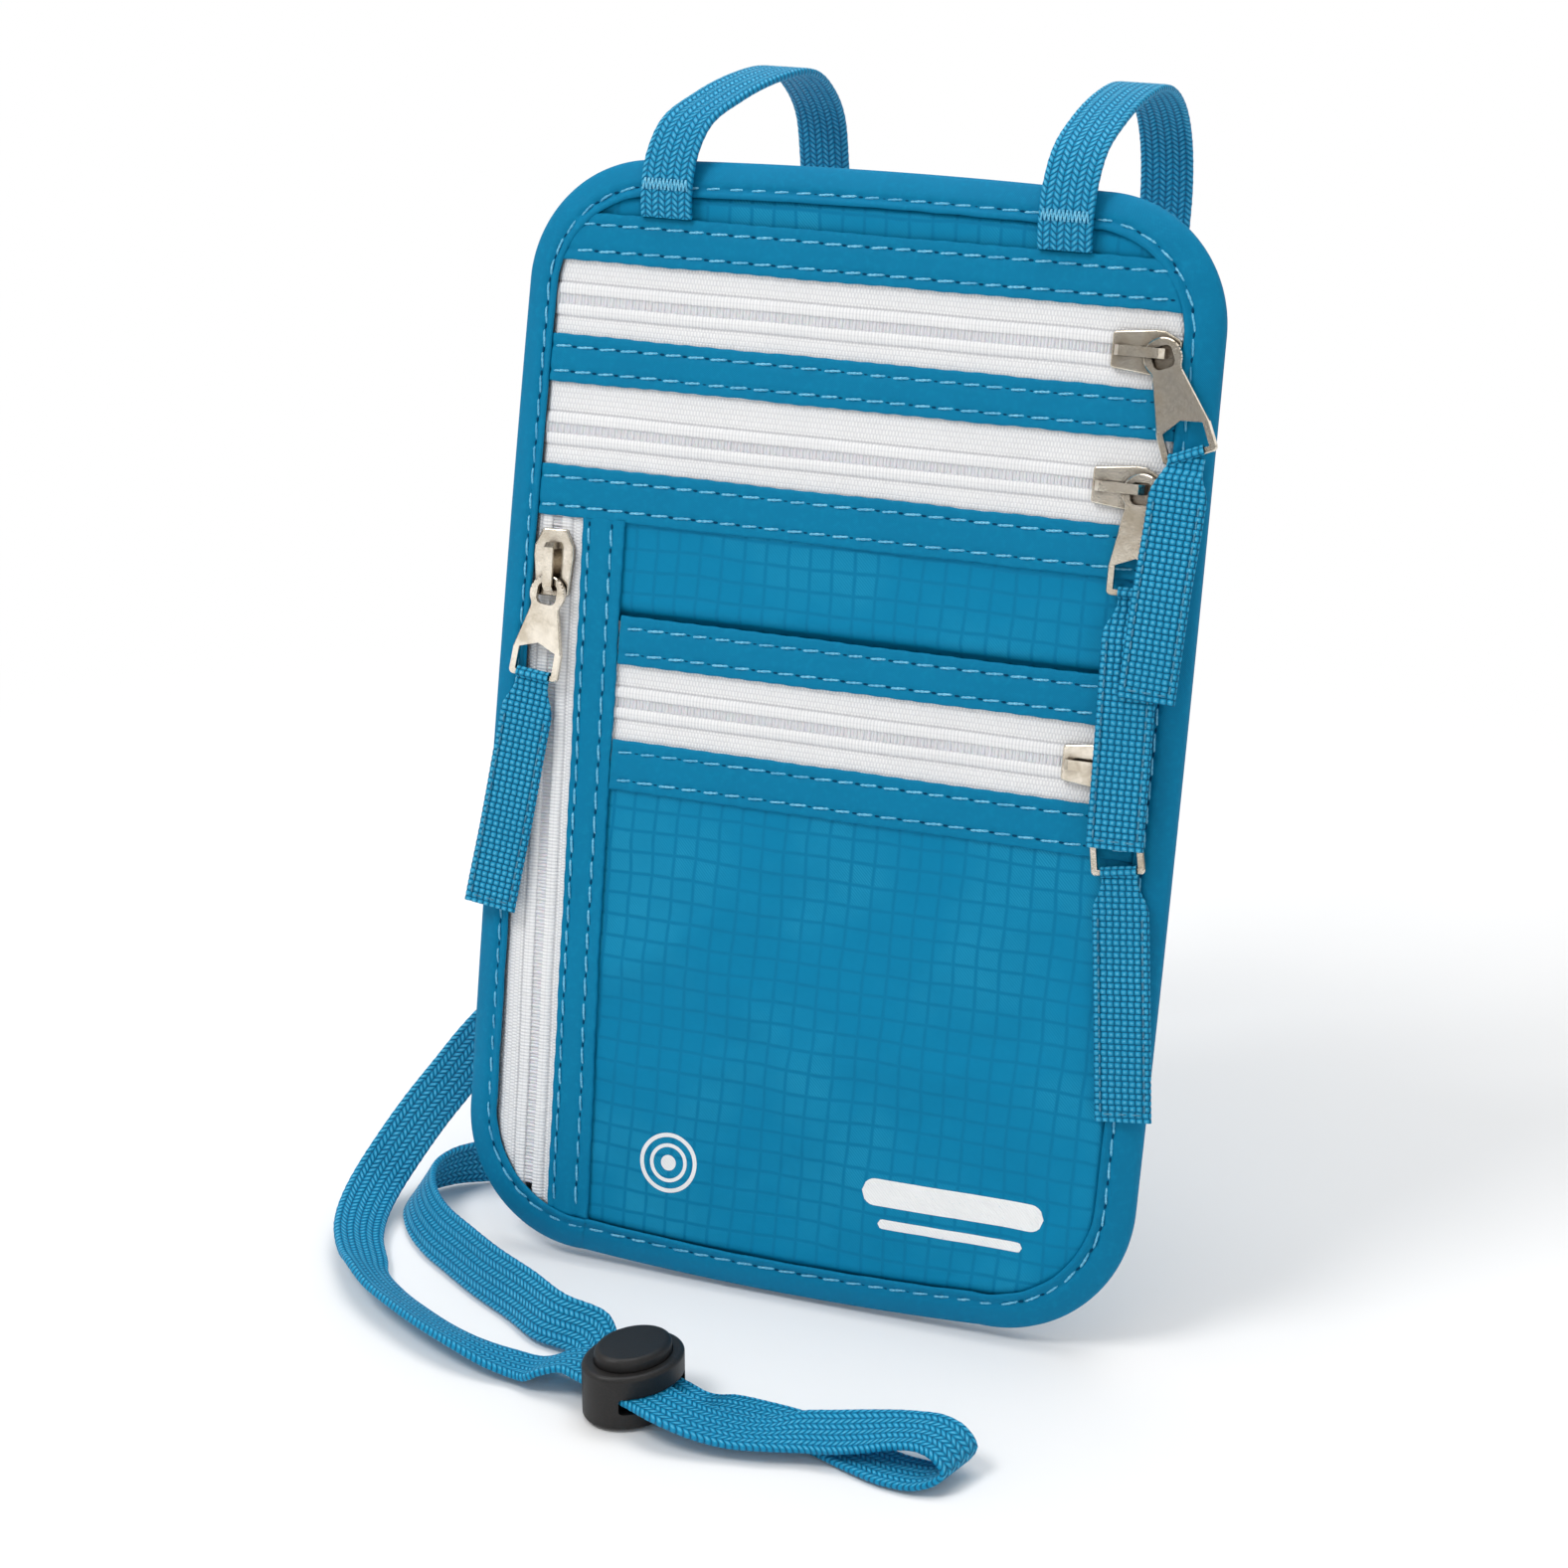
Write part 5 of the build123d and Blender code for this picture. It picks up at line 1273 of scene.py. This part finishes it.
def ribbon(number):
    """A woven ribbon folded double round the bottom bar of a pull and sewn together."""
    body, node, (pivot_x, pivot_y), tilt, turn, shift, path = RIBBONS[number]
    tilt, turn = math.radians(tilt), math.radians(turn)
    sin_tilt, cos_tilt = math.sin(tilt), math.cos(tilt)
    bar_x = pivot_x + shift * cos_tilt + PULL_LENGTH * sin_tilt
    bar_y = pivot_y + shift * sin_tilt - PULL_LENGTH * cos_tilt
    across_x, across_y = math.cos(turn), math.sin(turn)
    down_x, down_y = math.sin(turn), -math.cos(turn)
    length = path[-1][0]
    places = np.arange(0.0, length + 0.01, 0.19)
    path = np.array([(0.0, PULL_BAR_Z)] + path)
    kernel = np.hanning(13)
    kernel /= kernel.sum()
    rough = np.interp(places, path[:, 0], path[:, 1])
    middle = np.convolve(np.pad(rough, 6, mode="edge"), kernel, "valid")

    along = places[:, None]
    half = RIBBON_BAR_HALF + (RIBBON_HALF - RIBBON_BAR_HALF) * smooth(along, 1.5, 7.5)
    thick = 1.15 - 0.15 * smooth(along, 0, 4)
    end = np.sqrt(np.clip(1 - ((along - (length - 0.45)) / 0.47).clip(0, 1) ** 2, 0.05, 1))
    # unit section: |x| up to 0.9 is flat, and the rest is the rounded edge
    unit_x, unit_z = tape_section(1.0, 0.2, flat_count=57, round_count=5)
    flat, face = np.abs(unit_z) >= 0.0999, np.sign(unit_z)
    edge = np.sign(unit_x) * np.clip(np.abs(unit_x) - 0.9, 0, 0.1) / 0.1
    x = np.clip(unit_x, -0.9, 0.9) / 0.9 * (half - 0.35) + edge * 0.35
    z = face * np.where(flat, thick / 2, thick / 2 * (np.abs(unit_z) / 0.1)) * end
    shifted = WEAVE_SHIFT * (np.floor(along / WEAVE_Y) % 2)
    bumps_x = np.abs(np.sin(np.pi * (x / WEAVE_X + shifted)))
    bumps_y = np.abs(np.sin(np.pi * along / WEAVE_Y))
    weave = (bumps_x ** 0.7) * (bumps_y ** 0.7)
    z = z + face * np.where(flat, 1.0, 0.3) * (weave - 0.6) * 0.30
    x = x + edge * 0.10 * (bumps_y - 0.5)
    # the sewn rows press in
    press = np.exp(-((np.abs(x) - (half - ROW_INSET)) / 0.35) ** 2) * smooth(along, 6.0, 8.0)
    end_press = np.exp(-((along - (length - END_INSET)) / 0.35) ** 2) * (np.abs(unit_x) < 0.8)
    z = z - face * 0.14 * np.maximum(press, end_press)
    curl = 0.10 * wobble(along, 9, 130 + number)
    sway = 0.12 * wobble(along, 16, 131 + number, lane=4) * smooth(along, 6, 12)
    points = on_pouch(bar_x + down_x * along + across_x * (x + sway),
                      bar_y + down_y * along + across_y * (x + sway),
                      middle[:, None] + curl * (x / 5) * 0.5 + z)
    parts = Parts()
    parts.add(points, uv=pair(x, along), closed=True)

    # the fold: an outer and an inner wall round the side of the bar towards the pivot
    wrap = np.linspace(-2.3, 2.3, 26)[:, None]
    bar = np.linspace(-RIBBON_BAR_HALF, RIBBON_BAR_HALF, 37)
    outer = LOOP_OUTER + 0.05 * np.abs(np.sin(np.pi * bar / WEAVE_X))
    for radius in (outer, LOOP_INNER):
        wall = on_pouch(bar_x - sin_tilt * np.cos(wrap) * radius + cos_tilt * bar,
                        bar_y + cos_tilt * np.cos(wrap) * radius + sin_tilt * bar,
                        PULL_BAR_Z + np.sin(wrap) * radius)
        parts.add(wall, uv=pair(bar, wrap * LOOP_OUTER), reverse=radius is not outer)
    parts.build(node + "_webbing", "webbing", body=body, replaces=node)

    # thread on both faces: two long rows and one across, as (across, along)
    row_x = RIBBON_HALF - ROW_INSET
    last = length - END_INSET
    rows = [(np.full(120, side * row_x), np.linspace(8.0, last, 120)) for side in (-1, 1)]
    rows.append((np.linspace(-row_x, row_x, 30), np.full(30, last)))
    t = np.linspace(-1, 1, 8)
    radius = 0.15 * round_ends(t, 5, 0.1)[:, None]
    rise = 0.55 - 0.08 * np.abs(t) ** 3
    stitches = Parts()
    for offset, distance in rows:
        xs = bar_x + down_x * distance + across_x * offset
        ys = bar_y + down_y * distance + across_y * offset
        run = np.r_[0, np.cumsum(np.hypot(np.diff(xs), np.diff(ys)))]
        count = int(run[-1] / 2.1)
        for i in range(count):
            place = (i + 0.5) * run[-1] / count + t * 0.78
            x, y = np.interp(place, run, xs), np.interp(place, run, ys)
            level = np.interp(np.interp(place, run, distance), places, middle)
            step_x, step_y = x[-1] - x[0], y[-1] - y[0]
            norm = math.hypot(step_x, step_y)
            for side in (1, -1):
                stitches.add(strand(x, y, level + side * rise, (-step_y / norm, step_x / norm),
                                    radius, squash=0.7, sides=6), closed=True)
    stitches.build(node + "_stitches", "ribbon_thread", body=body)


for number in RIBBONS:
    ribbon(number)

# ------------------------------------------------------------------ printed marks
RINGS_X, RINGS_Y = -23.0, 21.5


def ring_mark(inner, outer, count):
    angle, radius = np.meshgrid(np.linspace(0, 2 * np.pi, count), np.linspace(inner, outer, 4))
    return RINGS_X + radius * np.cos(angle), RINGS_Y + radius * np.sin(angle)


def bar_mark(left, right, low, high):
    """A bar with round ends."""
    radius, reach = (high - low) / 2, (right - left) / 2
    t = np.linspace(-1, 1, 60)
    past = np.abs(t) * reach - (reach - radius)
    half = np.where(past > 0, np.sqrt(np.clip(radius * radius - past ** 2, 0, None)), radius)
    y = (low + high) / 2 + np.linspace(-1, 1, 7)[:, None] * half
    return np.broadcast_to((left + right) / 2 + t * reach, y.shape), y


def printed_marks():
    """Two rings and a dot at the lower left, two bars at the lower right."""
    parts = Parts()
    for x, y in (ring_mark(4.9, 5.7, 80), ring_mark(3.0, 3.7, 60), ring_mark(0.02, 1.5, 32),
                 bar_mark(15.5, 50.0, 20.6, 25.6), bar_mark(19.0, 46.5, 16.4, 18.2)):
        grid = on_pouch(x, y, lower_cloth_z(x) + relief(x, y) + 0.05)
        parts.add(grid, uv=pair(x, y), face=OUT)
    parts.build("printed_marks", "ink", face=OUT)


printed_marks()

# ------------------------------------------------------------------ carried-over CAD nodes
CAD_MATERIALS = {
    "zip_slider_1": "nickel", "zip_slider_2": "nickel", "zip_slider_3": "nickel",
    "side_zip_slider": "nickel", "zip_pull_1": "nickel", "zip_pull_2": "nickel",
    "zip_pull_3": "nickel", "side_zip_pull": "nickel", "cord_lock_body": "black",
    "cord_lock_button": "button", "cord_lock_spring": "steel",
}


def dress(node, material):
    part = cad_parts[node]
    if not part.data.materials:
        part.data.materials.append(material)
    for slot in part.material_slots:
        slot.link = "OBJECT"
        slot.material = material


def squash_spring():
    """Give the spring a mesh of its own."""
    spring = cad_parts["cord_lock_spring"]
    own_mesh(spring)


for node, material in CAD_MATERIALS.items():
    dress(node, MATERIALS[material])
squash_spring()


# ------------------------------------------------------------------ floor, light, camera, m
def paper_floor():
    """White paper that fades into pure white away from the pouch."""
    mat = Material("paper_floor")
    mottle = mat.noise(mat.place(), scale=6.0, detail=3)
    mat.set(Base_Color=mat.mix(mottle, srgb(244, 244, 244), srgb(250, 250, 250)),
            Roughness=0.9, Specular_IOR_Level=0.1)
    position = mat.node("NewGeometry", output="Position")
    distance = mat.node("VectorMath", {0: position}, output="Value", operation="LENGTH")
    fade = distance.ramp(low=0.16, high=0.42)
    mixed = mat.node("MixShader", {0: fade, 1: mat.shader.outputs[0], 2: mat.node("Emission")})
    mat.put(mat.output.inputs["Surface"], mixed)
    return mat.material


def lay_floor():
    half, level = 4.0, -0.0004
    material = paper_floor()
    mesh = bpy.data.meshes.new("floor")
    corners = [(-half, -half, level), (half, -half, level), (half, half, level),
               (-half, half, level)]
    mesh.from_pydata(corners, [], [(0, 1, 2, 3)])
    mesh.materials.append(material)
    floor = bpy.data.objects.new("floor", mesh)
    bpy.context.scene.collection.objects.link(floor)


def studio_world():
    """White to the camera, even grey as light, bright and dark panels in reflections."""
    world = bpy.data.worlds.new("studio")
    bpy.context.scene.world = world
    world.use_nodes = True
    graph = Graph(world.node_tree)
    ambient, backdrop = 0.62, 1.0
    rays = graph.add("LightPath")
    wave = {"Vector": graph.node("TexCoord", output="Generated"), "Scale": 1.7,
            "Distortion": 3.2}
    panels = graph.node("TexWave", wave, output="Fac", bands_direction="Z")
    room = panels.ramp(low=0.38, high=0.60, start=0.03, end=1.7)
    light = graph.node("Mix", {0: rays.outputs["Is Glossy Ray"], 2: ambient, 3: room})
    seen = graph.node("Mix", {0: rays.outputs["Is Camera Ray"], 2: light, 3: backdrop})
    background = graph.add("Background", {1: seen})
    graph.add("OutputWorld", {0: background.outputs[0]})


def area_light(name, place, target, size, power):
    light = bpy.data.lights.new(name, "AREA")
    light.shape = "DISK"
    light.size = size
    light.energy = power
    lamp = bpy.data.objects.new(name, light)
    lamp.location = place
    lamp.rotation_mode = "QUATERNION"
    lamp.rotation_quaternion = (Vector(target) - Vector(place)).to_track_quat("-Z", "Y")
    bpy.context.scene.collection.objects.link(lamp)


def place_camera():
    lens = bpy.data.cameras.new("camera")
    lens.sensor_width = 36.0
    lens.lens = 81.1828535
    lens.clip_start = 0.02
    lens.clip_end = 20
    camera = bpy.data.objects.new("camera", lens)
    right = Vector((0.9321, 0.3622, 0))
    up = Vector((-0.1298, 0.3340, 0.9336))
    back = Vector((0.3381, -0.8702, 0.3584))
    turn = Matrix((right, up, back)).transposed().to_4x4()
    camera.matrix_world = Matrix.Translation((0.211570, -0.541891, 0.325046)) @ turn
    bpy.context.scene.collection.objects.link(camera)
    bpy.context.scene.camera = camera


lay_floor()
studio_world()
area_light("key", place=(-0.5, -0.55, 1.15), target=(0, 0, 0.08), size=0.5, power=6.5)
area_light("fill", place=(0.9, -0.9, 0.6), target=(0, 0, 0.1), size=0.9, power=1.0)
area_light("top", place=(0.0, 0.35, 1.3), target=(0, 0, 0.0), size=1.0, power=8.0)
place_camera()
bpy.context.scene.view_settings.view_transform = "Standard"
